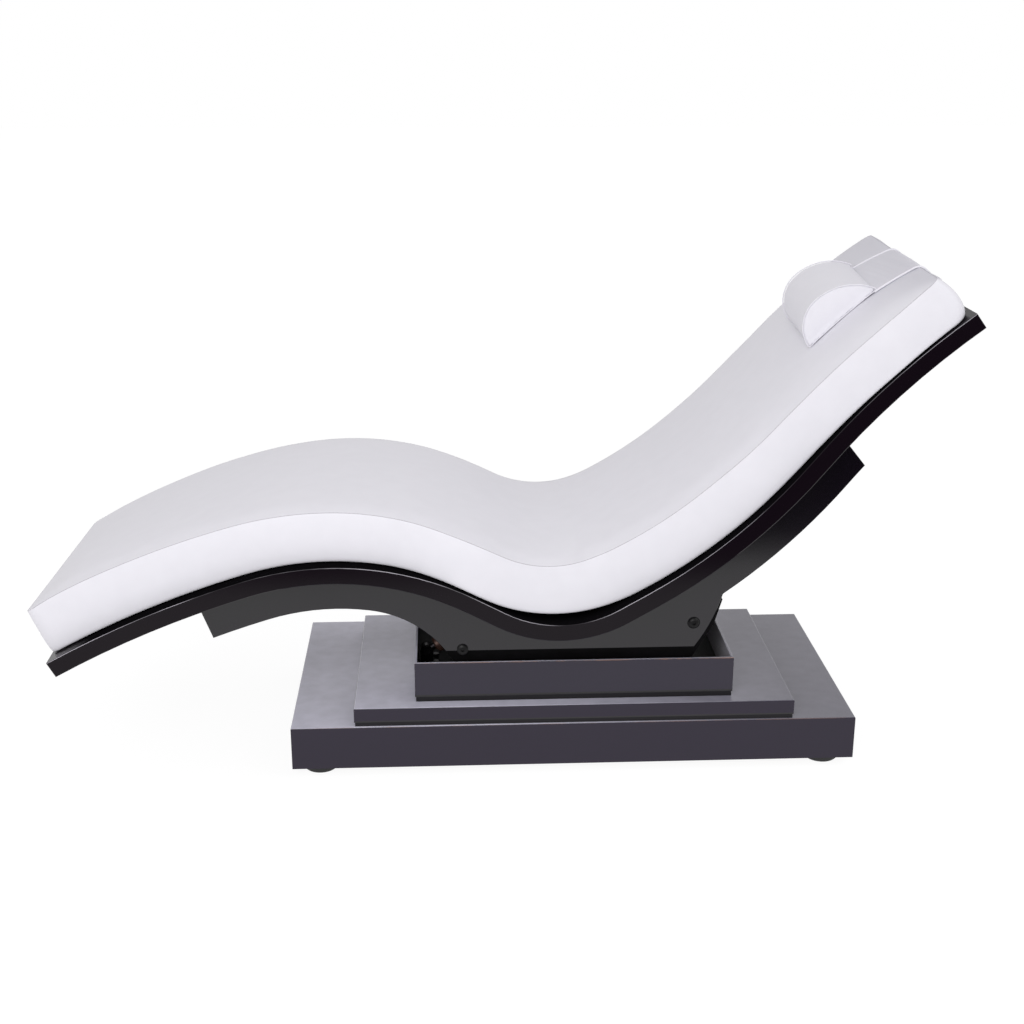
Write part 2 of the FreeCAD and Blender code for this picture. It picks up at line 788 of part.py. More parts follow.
def rail_outline():
    """Return a side rail's outline: it hugs the deck, arches over the foot and drops to the pivot."""
    top = -dim("deck_thickness") - dim("glue_gap")
    low = top - dim("rail_depth")
    foot = dim("rail_foot_reach")
    arch = dim("rail_arch_reach")
    back = dim("rail_back_start")
    head_low = dim("rail_head_reach")
    head_top = head_low + dim("rail_head_rake")
    toe = Vector(peg.x - dim("toe_reach"), rail_floor, 0)
    heel = Vector(pivot.x + dim("heel_reach"), rail_floor, 0)
    arch_end = deck_curve.point(arch, low)
    arch_up = deck_curve.point(arch).sub(arch_end).normalize()
    back_begin = deck_curve.point(back, low)
    seat_radius = dim("peg_radius") + dim("notch_clearance")
    crown = Vector(peg.x, peg.y + dim("peg_radius") + dim("seat_clearance"), 0)
    hollow = Vector(peg.x, crown.y - seat_radius, 0)
    slot_front = Vector(peg.x - seat_radius, hollow.y, 0)
    slot_back = Vector(peg.x + seat_radius, hollow.y, 0)
    front_foot = Vector(slot_front.x, rail_floor, 0)
    back_foot = Vector(slot_back.x, rail_floor, 0)
    outline = deck_curve.edges(top, foot, head_top)
    outline.append(line(deck_curve.point(head_top, top), deck_curve.point(head_low, low)))
    outline += backwards(deck_curve.edges(low, back, head_low))
    outline.append(bowed(back_begin, heel, -dim("heel_bow")))
    outline.append(line(heel, back_foot))
    outline.append(line(back_foot, slot_back))
    outline.append(Part.Arc(slot_back, crown, slot_front))
    outline.append(line(slot_front, front_foot))
    outline.append(line(front_foot, toe))
    outline.append(level_arc(toe, arch_end, arch_up))
    outline += backwards(deck_curve.edges(low, foot, arch))
    outline.append(line(deck_curve.point(foot, low), deck_curve.point(foot, top)))
    bush_seat = dim("axle_radius") + dim("bush_wall") + 2 * dim("bore_clearance")
    outline.append(Part.Circle(pivot, Vector(0, 0, 1), bush_seat))
    return outline


def make_rails():
    """Make the two side rails and the flanged bushes that turn on the axle."""
    outline = rail_outline()
    clearance = dim("bore_clearance")
    bore = dim("axle_radius") + clearance
    for side, sign in SIDES.items():
        lateral = f"{sign} * ( rail_face / 2 - rail_thickness / 2 )"
        rail = profile_body(f"side_rail_{side}", outline, "rail_thickness", lateral)
        outer = sign * dim("rail_thickness") / 2
        chamfer(rail, "rail_bevel", lambda edge, at, outer=outer: abs(at.y - outer) < NEAR
                and (at - Vector(pivot.x, outer, pivot.y)).Length > dim("cap_radius"))
        finish(rail, f"side_rail_{side}")
        barrel = across(dim("rail_thickness"), bore + dim("bush_wall"), pivot.x, sign * rail_centre, pivot.y)
        flange_y = sign * (rail_inside - dim("bush_flange_thickness") / 2)
        flange = across(dim("bush_flange_thickness"), bore + dim("bush_wall") + dim("bush_flange"),
                        pivot.x, flange_y, pivot.y)
        hole = across(2 * dim("rail_face"), bore, pivot.x, 0, pivot.y)
        finish(feature(f"pivot_bush_{side}", barrel.fuse(flange).cut(hole)), f"pivot_bush_{side}")


def make_deck():
    """Make the bent deck, with a fine bevel along its edges."""
    low = -dim("deck_thickness")
    end = deck_curve.length
    outline = deck_curve.edges(0, 0, end)
    outline.append(line(deck_curve.point(end), deck_curve.point(end, low)))
    outline += backwards(deck_curve.edges(low, 0, end))
    outline.append(line(deck_curve.point(0, low), deck_curve.point(0)))
    deck = profile_body("deck", outline, "deck_width")
    edge_line = dim("deck_width") / 2
    chamfer(deck, "deck_bevel", lambda edge, at: abs(abs(at.y) - edge_line) < NEAR)
    finish(deck, "deck")


def under_deck(reach, drop):
    """Return the placement at a distance along the deck, a drop below its underside."""
    spot = deck_curve.point(reach, -dim("deck_thickness") - drop)
    turn = Rotation(Vector(0, 1, 0), -math.degrees(deck_curve.slope(reach)))
    return Placement(Vector(spot.x, 0, spot.y), turn)


def hollow_of(reach, width):
    """Return how far the deck's underside curves away over a width, at a distance along it."""
    half = width / 2
    middle = deck_curve.point(reach, -dim("deck_thickness"))
    ends = deck_curve.point(reach - half, -dim("deck_thickness")), deck_curve.point(
        reach + half, -dim("deck_thickness"))
    chord = (ends[0] + ends[1]) / 2
    return middle.sub(chord).Length


def make_cross_rails():
    """Make the four cross rails that tie the side rails together under the deck."""
    for name in ("foot", "knee", "back", "head"):
        reach = dim(f"{name}_cross_reach")
        drop = hollow_of(reach, dim("cross_rail_width")) + dim("glue_gap")
        blank = doc.addObject("Part::Box", f"{name}_cross_blank")
        bind(blank, Length=on_sheet("cross_rail_width"), Height=on_sheet("cross_rail_height"),
             Width=on_sheet("rail_face - 2 * rail_thickness - 2 * glue_gap"))
        inset = Vector(-dim("cross_rail_width") / 2, dim("glue_gap") - rail_inside, -dim("cross_rail_height"))
        blank.Placement = under_deck(reach, drop).multiply(Placement(inset, Rotation()))
        doc.recompute()
        long_edge = 2 * (rail_inside - dim("glue_gap"))
        finish(rounded(f"cross_rail_{name}", blank, "cross_rail_edge",
                       lambda edge, at: abs(edge.Length - long_edge) < NEAR), f"cross_rail_{name}")


def make_cleats():
    """Make the steel cleats that fix the deck to the rails."""
    leg = dim("cleat_leg")
    wall = dim("cleat_thickness")
    width = dim("cleat_width")
    span = dim("rail_head_reach") - dim("rail_foot_reach")
    cleats = []
    for share in CLEAT_SHARES:
        reach = dim("rail_foot_reach") + share * span
        drop = hollow_of(reach, width) + dim("cleat_gap")
        for side, sign in SIDES.items():
            face = sign * (rail_inside - dim("cleat_gap"))
            ring = [(0, 0), (leg, 0), (leg, wall), (wall, wall), (wall, leg), (0, leg)]
            points = [Vector(-width / 2, face - sign * inward, -down) for inward, down in ring]
            section = Part.Face(Part.makePolygon(points + points[:1]))
            cleat = feature(f"cleat_{side}_{len(cleats)}", section.extrude(Vector(width, 0, 0)))
            cleat.Placement = under_deck(reach, drop)
            cleats.append(cleat)
    group("deck_cleats", cleats)


# Actuator, its brackets and the lift bar

rod_pin = Vector(plinth_x + dim("rod_pin_setback"), dim("rod_pin_height"), 0)
lift_pin = Vector(plinth_x + dim("lift_pin_setback"), dim("lift_pin_height"), 0)
drive_length = rod_pin.sub(lift_pin).Length
drive_way = rod_pin.sub(lift_pin).normalize()
drive_frame = Placement(Vector(lift_pin.x, dim("drive_line"), lift_pin.y),
                        Rotation(Vector(1, 0, 0), Vector(drive_way.x, 0, drive_way.y)))


def on_drive(label, shape):
    """Make a sub-part from a shape drawn along the actuator's own axis."""
    piece = feature(label, shape)
    piece.Placement = drive_frame
    return finish(piece, label)


def rod_shape(first, last, radius, side=0.0):
    """Return a cylinder along the actuator's axis, from first to last."""
    return Part.makeCylinder(radius, last - first, Vector(first, side, 0), Vector(1, 0, 0))


def link_plate(run, small, large, thickness, y):
    """Return a plate with round ends, from the pin at the origin to a circle at a run along X."""
    lean = math.asin((large - small) / abs(run))
    way = math.copysign(1, run)
    up = Vector(-way * math.sin(lean), 0, math.cos(lean))
    down = Vector(up.x, 0, -up.z)
    shift = Vector(0, y - thickness / 2, 0)
    near_end = Vector(-way * small, 0, 0)
    far_end = Vector(run + way * large, 0, 0)
    far = Vector(run, 0, 0)
    outline = Part.Wire([
        Part.Arc(up * small, near_end, down * small).toShape(),
        Part.LineSegment(down * small, far + down * large).toShape(),
        Part.Arc(far + down * large, far_end, far + up * large).toShape(),
        Part.LineSegment(far + up * large, up * small).toShape()])
    return Part.Face(outline).translated(shift).extrude(Vector(0, thickness, 0))


def make_actuator():
    """Make the actuator: gearbox with its eye, motor, tube, collar, rod and rod eye."""
    clearance = dim("bore_clearance")
    begin = dim("gearbox_start")
    start = dim("tube_start")
    radius = dim("gearbox_radius")
    offset = dim("motor_offset")
    depth = Vector(start - begin, 0, 0)
    at_tube = Part.makeCylinder(radius, start - begin, Vector(begin, 0, 0), Vector(1, 0, 0))
    at_motor = Part.makeCylinder(radius, start - begin, Vector(begin, offset, 0), Vector(1, 0, 0))
    web = radius - dim("gearbox_web")
    bridge = Part.Face(Part.makePolygon([
        Vector(begin, 0, -web), Vector(begin, offset, -web), Vector(begin, offset, web),
        Vector(begin, 0, web), Vector(begin, 0, -web)])).extrude(depth)
    eye = Part.makeCylinder(dim("gearbox_eye_radius"), dim("rod_eye_thickness"),
                            Vector(0, -dim("rod_eye_thickness") / 2, 0), Vector(0, 1, 0))
    neck_half = dim("gearbox_eye_radius")
    neck = Part.makeBox(begin + dim("gearbox_edge"), dim("rod_eye_thickness"), 2 * neck_half,
                        Vector(0, -dim("rod_eye_thickness") / 2, -neck_half))
    pin_hole = across(2 * dim("rod_eye_thickness"), dim("pin_radius") + clearance, 0, 0, 0)
    body = at_tube.fuse([at_motor, bridge, eye, neck]).removeSplitter().cut(pin_hole)
    on_drive("actuator_gearbox", body)

    motor_end = start + dim("motor_length")
    inset = dim("motor_cap_inset")
    motor = rod_shape(start, motor_end, dim("motor_radius"), offset)
    cap = rod_shape(motor_end, motor_end + dim("motor_cap_length"), dim("motor_radius") - inset, offset)
    on_drive("actuator_motor", motor.fuse(cap).removeSplitter())

    end = dim("tube_end")
    tube = rod_shape(start, end, dim("tube_radius")).cut(
        rod_shape(start, end, dim("tube_radius") - dim("tube_wall")))
    on_drive("actuator_tube", tube)
    lip = end + dim("collar_length")
    ring = rod_shape(end, lip - dim("collar_lip"), dim("collar_radius"))
    nose = Part.makeCone(dim("collar_radius"), dim("tube_radius"), dim("collar_lip"),
                         Vector(lip - dim("collar_lip"), 0, 0), Vector(1, 0, 0))
    passage = rod_shape(end, lip, dim("rod_radius") + clearance)
    on_drive("actuator_collar", ring.fuse(nose).removeSplitter().cut(passage))

    neck_end = drive_length - dim("rod_eye_radius")
    on_drive("actuator_rod", rod_shape(drive_length - dim("rod_reach"), neck_end - dim("ear_thickness"),
                                       dim("rod_radius")))
    head = Part.makeCylinder(dim("rod_eye_radius"), dim("rod_eye_thickness"),
                             Vector(drive_length, -dim("rod_eye_thickness") / 2, 0), Vector(0, 1, 0))
    stem = rod_shape(neck_end - dim("ear_thickness"), drive_length, dim("rod_radius") - clearance)
    wide = across(2 * dim("rod_eye_thickness"), dim("pin_radius") + dim("open_pivot_clearance"),
                  drive_length, 0, 0)
    on_drive("rod_eye", head.fuse(stem).removeSplitter().cut(wide))


def headed_pin(x, z, y, reach):
    """Return a clevis pin with its head and its retaining ring."""
    shank = across(2 * (reach + dim("pin_head_height")), dim("pin_radius"), x, y, z)
    head_y = y - reach - dim("pin_head_height") / 2
    head = across(dim("pin_head_height"), dim("pin_head_radius"), x, head_y, z)
    ring_y = y + reach + dim("pin_head_height") / 2
    ring = across(dim("pin_head_height"), dim("pin_head_radius"), x, ring_y, z).cut(
        across(2 * dim("pin_head_height"), dim("pin_radius") + dim("bore_clearance"), x, ring_y, z))
    return Part.makeCompound([shank.fuse(head).removeSplitter(), ring])


def make_lift():
    """Make the lift bar, its two lugs and the pin that carries the actuator."""
    clearance = dim("bore_clearance")
    ear_y = dim("rod_eye_thickness") / 2 + dim("ear_gap") + dim("ear_thickness") / 2
    reach = ear_y + dim("ear_thickness") / 2 + clearance
    offset = dim("lift_bar_offset")
    large = dim("lift_bar_radius") + dim("lug_margin")
    lugs = []
    for sign in SIDES.values():
        lug = link_plate(-offset, dim("gearbox_eye_radius"), large, dim("ear_thickness"), sign * ear_y)
        lug = lug.cut(across(2 * dim("rail_face"), dim("pin_radius") + clearance, 0, 0, 0))
        lugs.append(lug.cut(across(2 * dim("rail_face"), dim("lift_bar_radius") + clearance, -offset, 0, 0)))
    on_drive("lift_lugs", Part.makeCompound(lugs))
    finish(feature("lift_pin", headed_pin(lift_pin.x, lift_pin.y, dim("drive_line"), reach)), "lift_pin")
    bar_at = lift_pin.sub(drive_way * offset)
    bar = across(2 * rail_inside, dim("lift_bar_radius"), bar_at.x, 0, bar_at.y)
    flange_line = rail_inside - dim("lift_flange_thickness") / 2
    flanges = [across(dim("lift_flange_thickness"), dim("lift_flange_radius"), bar_at.x,
                      sign * flange_line, bar_at.y) for sign in SIDES.values()]
    bore = across(2 * dim("rail_face"), dim("lift_bar_radius") - dim("lift_bar_wall"), bar_at.x, 0, bar_at.y)
    finish(feature("lift_bar", bar.fuse(flanges).removeSplitter().cut(bore)), "lift_bar")


def make_rod_bracket():
    """Make the clevis bracket on the tray bed, its pin and its bolts."""
    clearance = dim("bore_clearance")
    centre_y = dim("drive_line")
    half = dim("ear_half_width")
    wall = dim("ear_thickness")
    base = dim("bracket_base_thickness")
    inner = dim("rod_eye_thickness") / 2 + dim("ear_gap")
    spread = inner + wall + dim("bracket_flange")
    front = rod_pin.x - half
    length = 2 * half + dim("bracket_flange")
    body = Part.makeBox(length, 2 * spread, base, Vector(front, centre_y - spread, tray_bed))
    rise = rod_pin.y - tray_bed
    for sign in SIDES.values():
        low = min(sign * inner, sign * (inner + wall))
        ear = Part.makeBox(2 * half, wall, rise, Vector(front, centre_y + low, tray_bed))
        crown = across(wall, half, rod_pin.x, centre_y + low + wall / 2, rod_pin.y)
        body = body.fuse([ear, crown])
    body = body.removeSplitter().cut(across(2 * spread, dim("pin_radius") + clearance, rod_pin.x,
                                            centre_y, rod_pin.y))
    bolts = []
    bolt_x = (front + dim("bolt_head_radius"), front + length - dim("bolt_head_radius"))
    for x in bolt_x:
        for sign in SIDES.values():
            y = centre_y + sign * (spread - dim("bracket_flange") / 2)
            spot = Vector(x, y, tray_bed)
            up = Vector(0, 0, 1)
            body = body.cut(Part.makeCylinder(dim("bolt_shank_radius") + clearance, base, spot, up))
            shank = Part.makeCylinder(dim("bolt_shank_radius"), base, spot, up)
            head = Part.makeCylinder(dim("bolt_head_radius"), dim("bolt_head_height"),
                                     Vector(x, y, tray_bed + base), up)
            bolts.append(shank.fuse(head).removeSplitter())
    finish(feature("rod_bracket", body), "rod_bracket")
    finish(feature("bracket_bolts", Part.makeCompound(bolts)), "bracket_bolts")
    finish(feature("rod_pin", headed_pin(rod_pin.x, rod_pin.y, centre_y, inner + wall + clearance)), "rod_pin")


def make_control():
    """Make the control box with its lid, and the mains inlet in the far skirt."""
    x_text = "plinth_x + box_setback - box_length / 2"
    y_text = "box_side - box_width / 2"
    bed = "glide_height + lower_height + middle_height + tray_packing + tray_wall"
    box = board("control_box_blank", "box_length", "box_width", "box_height", x_text, y_text, bed)
    finish(rounded("control_box", box, "box_edge",
                   lambda edge, at: abs(edge.Length - dim("box_height")) < NEAR), "control_box")
    lid = board("control_lid_blank", "box_length", "box_width", "box_lid", x_text, y_text, f"{bed} + box_height")
    finish(rounded("control_box_lid", lid, "box_edge",
                   lambda edge, at: abs(edge.Length - dim("box_lid")) < NEAR), "control_box_lid")
    face = dim("plinth_step_back") + dim("lower_depth") / 2
    inside = face - dim("lower_board")
    middle = plinth_x + dim("inlet_setback")
    half = dim("inlet_length") / 2
    low = floor_of_lower + dim("inlet_rise")
    body = Part.makeBox(2 * half, dim("inlet_depth"), dim("inlet_height"),
                        Vector(middle - half, face - dim("inlet_depth"), low))
    lip = dim("inlet_flange")
    rim = Part.makeBox(2 * (half + lip), dim("inlet_flange_thickness"), dim("inlet_height") + 2 * lip,
                       Vector(middle - half - lip, inside - dim("inlet_flange_thickness"), low - lip))
    margin = dim("inlet_recess_margin")
    recess = Part.makeBox(2 * (half - margin), dim("inlet_recess"), dim("inlet_height") - 2 * margin,
                          Vector(middle - half + margin, face - dim("inlet_recess"), low + margin))
    shape = body.fuse(rim).removeSplitter().cut(recess)
    centre = low + dim("inlet_height") / 2
    for step, lift in ((-1, -1), (0, 1), (1, -1)):
        blade_x = middle + step * dim("inlet_blade_pitch") - dim("inlet_blade_thickness") / 2
        blade_z = centre + lift * dim("inlet_blade_width") / 2 - dim("inlet_blade_width") / 2
        blade = Part.makeBox(dim("inlet_blade_thickness"), dim("inlet_recess") - dim("inlet_flange_thickness"),
                             dim("inlet_blade_width"), Vector(blade_x, face - dim("inlet_recess"), blade_z))
        shape = shape.fuse(blade)
    finish(feature("mains_inlet", shape.removeSplitter()), "mains_inlet")


# Mattress and its hook strips

def make_hook_strips():
    """Make the strips of hook tape that the mattress clings to."""
    knee_end = dim("foot_arc") + dim("knee_arc")
    back_begin = knee_end + dim("seat_front_line") + dim("seat_arc") + dim("seat_back_line")
    runs = {"foot": (dim("hook_inset"), knee_end - dim("hook_inset")),
            "back": (back_begin + dim("hook_inset"), deck_curve.length - dim("hook_inset"))}
    thick = dim("hook_thickness")
    for name, (first, last) in runs.items():
        outline = deck_curve.edges(0, first, last)
        outline.append(line(deck_curve.point(last), deck_curve.point(last, thick)))
        outline += backwards(deck_curve.edges(thick, first, last))
        outline.append(line(deck_curve.point(first, thick), deck_curve.point(first)))
        strips = [profile_body(f"hook_{name}_{side}", outline, "hook_width", f"{sign} * hook_line")
                  for side, sign in SIDES.items()]
        group(f"hook_strips_{name}", strips)


def mattress_section():
    """Return the mattress's cross-section: crowned top, seams at the sides, drawn-in base."""
    half = dim("mattress_width") / 2
    bulge = dim("mattress_side_bulge")
    seam = half - bulge
    base = half - dim("mattress_base_draw")
    radius = dim("mattress_base_radius")
    height = dim("mattress_thickness")
    shoulder = seam - dim("crown_shoulder_width")
    rise = height + dim("crown_shoulder_drop")
    peak = height + dim("crown_rise")
    diagonal = radius * math.sin(math.pi / 4)
    sweep = Vector((seam + shoulder) / 2, height + dim("crown_shoulder_drop") * math.sin(math.pi / 4), 0)
    right = [
        Part.Arc(Vector(base - radius, 0, 0), Vector(base - radius + diagonal, radius - diagonal, 0),
                 Vector(base, radius, 0)),
        Part.Arc(Vector(base, radius, 0), Vector(half, (height + radius) / 2, 0), Vector(seam, height, 0)),
        Part.Arc(Vector(seam, height, 0), sweep, Vector(shoulder, rise, 0))]
    left = []
    for item in reversed(right):
        middle = item.value((item.FirstParameter + item.LastParameter) / 2)
        left.append(Part.Arc(mirror(item.EndPoint), mirror(middle), mirror(item.StartPoint)))
    crown = Part.Arc(Vector(shoulder, rise, 0), Vector(0, peak, 0), Vector(-shoulder, rise, 0))
    bottom = line(Vector(radius - base, 0, 0), Vector(base - radius, 0, 0))
    return right + [crown] + left + [bottom]


def mirror(point):
    """Return a point mirrored across the section's middle line."""
    return Vector(-point.x, point.y, 0)


def end_arc(way, inset, top_inset, bow):
    """Return the side view of one end of the mattress, from its base to just above its crown."""
    reach = 0.0 if way < 0 else mattress_curve.length
    top = dim("mattress_thickness") + dim("crown_rise") + dim("cut_overrun")
    foot = mattress_curve.point(reach - way * inset)
    head = mattress_curve.point(reach - way * (inset + top_inset), top)
    return bowed(foot, head, way * bow)


def end_cutter(way, inset, face):
    """Return the outline of what is cut off beyond one end of the mattress."""
    reach = 0.0 if way < 0 else mattress_curve.length
    top = dim("mattress_thickness") + dim("crown_rise") + dim("cut_overrun")
    beyond = reach + way * dim("cutter_margin")
    below = mattress_curve.point(reach - way * inset, -dim("cut_overrun"))
    far_top = mattress_curve.point(beyond, top)
    far_low = mattress_curve.point(beyond, -dim("cut_overrun"))
    return [line(below, face.StartPoint), face, line(face.EndPoint, far_top), line(far_top, far_low),
            line(far_low, below)]


def make_mattress():
    """Make the mattress: its crowned section swept along the deck, its ends bowed."""
    body = doc.addObject("PartDesign::Body", "mattress")
    spine = sketch_on(body, "XZ_Plane", mattress_curve.edges(0, 0, mattress_curve.length), "Route")
    section = sketch_on(body, "YZ_Plane", mattress_section(), "Section")
    start = mattress_curve.point(0)
    lean = Rotation(Vector(1, 0, 0), -math.degrees(mattress_curve.slope(0)))
    section.AttachmentOffset = Placement(Vector(0, start.y, start.x), lean)
    doc.recompute()
    sweep = body.newObject("PartDesign::AdditivePipe", "Sweep")
    sweep.Profile = section
    sweep.Spine = spine
    body.Tip = sweep
    doc.recompute()
    outline = []
    for end, way in (("foot", -1), ("head", 1)):
        inset = dim(f"mattress_{end}_inset")
        face = end_arc(way, inset, dim(f"{end}_top_inset"), dim(f"{end}_end_bow"))
        outline += end_cutter(way, inset, face)
    cutter = sketch_on(body, "XZ_Plane", outline, "Ends")
    cut = body.newObject("PartDesign::Pocket", "Bowed_ends")
    cut.Profile = cutter
    cut.Midplane = True
    cut.setExpression("Length", on_sheet("mattress_width + 2 * cut_overrun"))
    body.Tip = cut
    doc.recompute()
    finish(body, "mattress")


# Neck pillow with its flap over the head edge

def make_pillow():
    """Make the half-round pillow, its flap on the mattress and the weighted end that hangs down."""
    end = mattress_curve.length - dim("pillow_head_distance")
    start = end - dim("pillow_base")
    rise = dim("mattress_thickness") + dim("crown_rise") + dim("soft_gap")
    foot = mattress_curve.point(start, rise)
    head = mattress_curve.point(end, rise)
    along = head.sub(foot).normalize()
    up = Vector(-along.y, along.x, 0)
    peak = foot + along * dim("pillow_peak_run") + up * dim("pillow_height")
    outline = [level_arc(foot, peak, up)] + backwards([level_arc(head, peak, up)])
    outline += backwards(mattress_curve.edges(rise, start, end))
    pillow = profile_body("pillow", outline, "pillow_length", "pillow_line")
    half = dim("pillow_length") / 2
    middle_line = (foot + head) / 2
    fillet(pillow, "pillow_edge_radius",
           lambda edge, at: abs(abs(at.y) - half) < NEAR
           and Vector(at.x, at.z, 0).sub(middle_line).dot(up) > dim("pillow_height") / 4)
    finish(pillow, "pillow")

    fold = mattress_curve.length - dim("flap_fold_inset")
    begin = end + dim("flap_seam_gap")
    crest = rise + dim("flap_thickness")
    outline = mattress_curve.edges(rise, begin, fold)
    outline.append(line(mattress_curve.point(fold, rise), mattress_curve.point(fold, crest)))
    outline += backwards(mattress_curve.edges(crest, begin, fold))
    outline.append(line(mattress_curve.point(begin, crest), mattress_curve.point(begin, rise)))
    finish(profile_body("pillow_flap", outline, "pillow_length", "pillow_line"), "pillow_flap")
    make_counterweight(fold, rise, crest)


def make_counterweight(fold, rise, crest):
    """Make the weighted end of the flap, which hangs over the mattress's head end."""
    face = end_arc(1, dim("mattress_head_inset"), dim("head_top_inset"), dim("head_end_bow"))
    centre = face.centerOfCurvature(face.FirstParameter)
    inner = face.StartPoint.sub(centre).Length + dim("soft_gap")
    outer = inner + dim("flap_thickness")
    corner = mattress_curve.point(fold, rise).sub(centre)
    top = math.atan2(corner.y, corner.x) - dim("flap_thickness") / outer
    low = top - dim("flap_drop") / outer

    def around(radius, angle):
        return centre + Vector(radius * math.cos(angle), radius * math.sin(angle), 0)

    begin = fold + dim("flap_seam_gap")
    low_start = mattress_curve.point(begin, rise)
    high_start = mattress_curve.point(begin, crest)
    middle = (top + low) / 2
    outline = Part.Wire([
        line(low_start, high_start).toShape(),
        bowed(around(outer, top), high_start, dim("flap_seam_gap")).toShape(),
        Part.Arc(around(outer, top), around(outer, middle), around(outer, low)).toShape(),
        line(around(outer, low), around(inner, low)).toShape(),
        Part.Arc(around(inner, low), around(inner, middle), around(inner, top)).toShape(),
        line(around(inner, top), low_start).toShape()])
    strip = Part.Face(outline).extrude(Vector(0, 0, dim("pillow_length")))
    hem_at = around(inner + dim("flap_hem_radius"), low)
    hem = Part.makeCylinder(dim("flap_hem_radius"), dim("pillow_length"), hem_at, Vector(0, 0, 1))
    piece = feature("pillow_counterweight", strip.fuse(hem).removeSplitter())
    near_side = dim("pillow_line") + dim("pillow_length") / 2
    piece.Placement = Placement(Vector(0, near_side, 0), Rotation(Vector(1, 0, 0), 90))
    finish(piece, "pillow_counterweight")


make_glides()
make_lower_plinth()
make_steps()
make_tray()
make_cheeks()
make_pivot()
make_rails()
make_deck()
make_cross_rails()
make_cleats()
make_actuator()
make_lift()
make_rod_bracket()
make_control()
make_hook_strips()
make_mattress()
make_pillow()

# Test the document, then write every sub-part to a file
doc.recompute()
faulty = [item.Name for item in doc.Objects if set(item.State) & {"Invalid", "Error"}]
faulty += [piece.Label for piece in nodes if piece.Shape.isNull() or not piece.Shape.isValid()]
if faulty:
    raise RuntimeError(f"faulty objects: {faulty}")
os.makedirs("parts", exist_ok=True)
for piece in nodes:
    piece.Shape.exportStep(f"parts/{piece.Label}.step")

hinge = mattress_curve.point(mattress_curve.length - dim("flap_fold_inset"),
                             dim("mattress_thickness") + dim("crown_rise") + dim("soft_gap")
                             + dim("flap_thickness"))
box = nodes[0].Shape.BoundBox
for piece in nodes:
    box.add(piece.Shape.BoundBox)
print("sub-parts", len(nodes))
print("pivot", pivot, "peg", peg)
print("lift pin", lift_pin, "rod pin", rod_pin, "drive length", drive_length)
print("pillow hinge", hinge)
print("bounds", box)
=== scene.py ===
"""Spa relaxation lounger: its upholstery, its finishes, and the studio round it."""

import logging
import math
from collections.abc import Callable, Iterable, Sequence
from dataclasses import dataclass, field, replace
from enum import Enum
from functools import cached_property

import bmesh
import bpy
import numpy as np
from mathutils import Matrix, Vector


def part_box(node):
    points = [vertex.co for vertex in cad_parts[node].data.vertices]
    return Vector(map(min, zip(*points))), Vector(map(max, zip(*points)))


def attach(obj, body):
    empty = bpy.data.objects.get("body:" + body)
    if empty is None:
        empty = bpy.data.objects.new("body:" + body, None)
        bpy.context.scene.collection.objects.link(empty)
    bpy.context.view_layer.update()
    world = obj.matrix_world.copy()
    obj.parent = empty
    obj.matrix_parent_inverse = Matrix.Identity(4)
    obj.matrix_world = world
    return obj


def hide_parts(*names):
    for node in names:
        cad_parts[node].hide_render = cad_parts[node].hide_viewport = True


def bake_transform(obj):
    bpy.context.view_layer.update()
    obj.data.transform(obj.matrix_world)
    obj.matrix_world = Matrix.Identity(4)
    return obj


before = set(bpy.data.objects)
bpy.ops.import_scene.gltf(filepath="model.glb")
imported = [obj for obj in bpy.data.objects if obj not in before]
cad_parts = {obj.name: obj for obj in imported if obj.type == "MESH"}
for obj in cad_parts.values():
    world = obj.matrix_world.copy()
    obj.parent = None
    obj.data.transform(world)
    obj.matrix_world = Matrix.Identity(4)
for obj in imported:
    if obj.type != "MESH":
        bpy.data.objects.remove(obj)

log = logging.getLogger("lounger")
Colour = tuple[float, float, float]

ORIGIN = (0.0, 0.0, 0.0)
# How near two points lie, in metres, to be merged into one
SAME_POINT = 0.00002
# Values of a unit pad's points that count as on its low and its high edge
LOW, HIGH = 0.001, 0.999


class Side(Enum):
    """The side of the middle line that a piece lies on, as the sign of its Y."""

    NEAR = -1.0
    FAR = 1.0


# Routes that the soft pieces follow


@dataclass(frozen=True)
class Bend:
    """One stretch of a route.

    Attributes:
        length: Its length in metres.
        turn: How far it turns, in degrees.
    """

    length: float
    turn: float


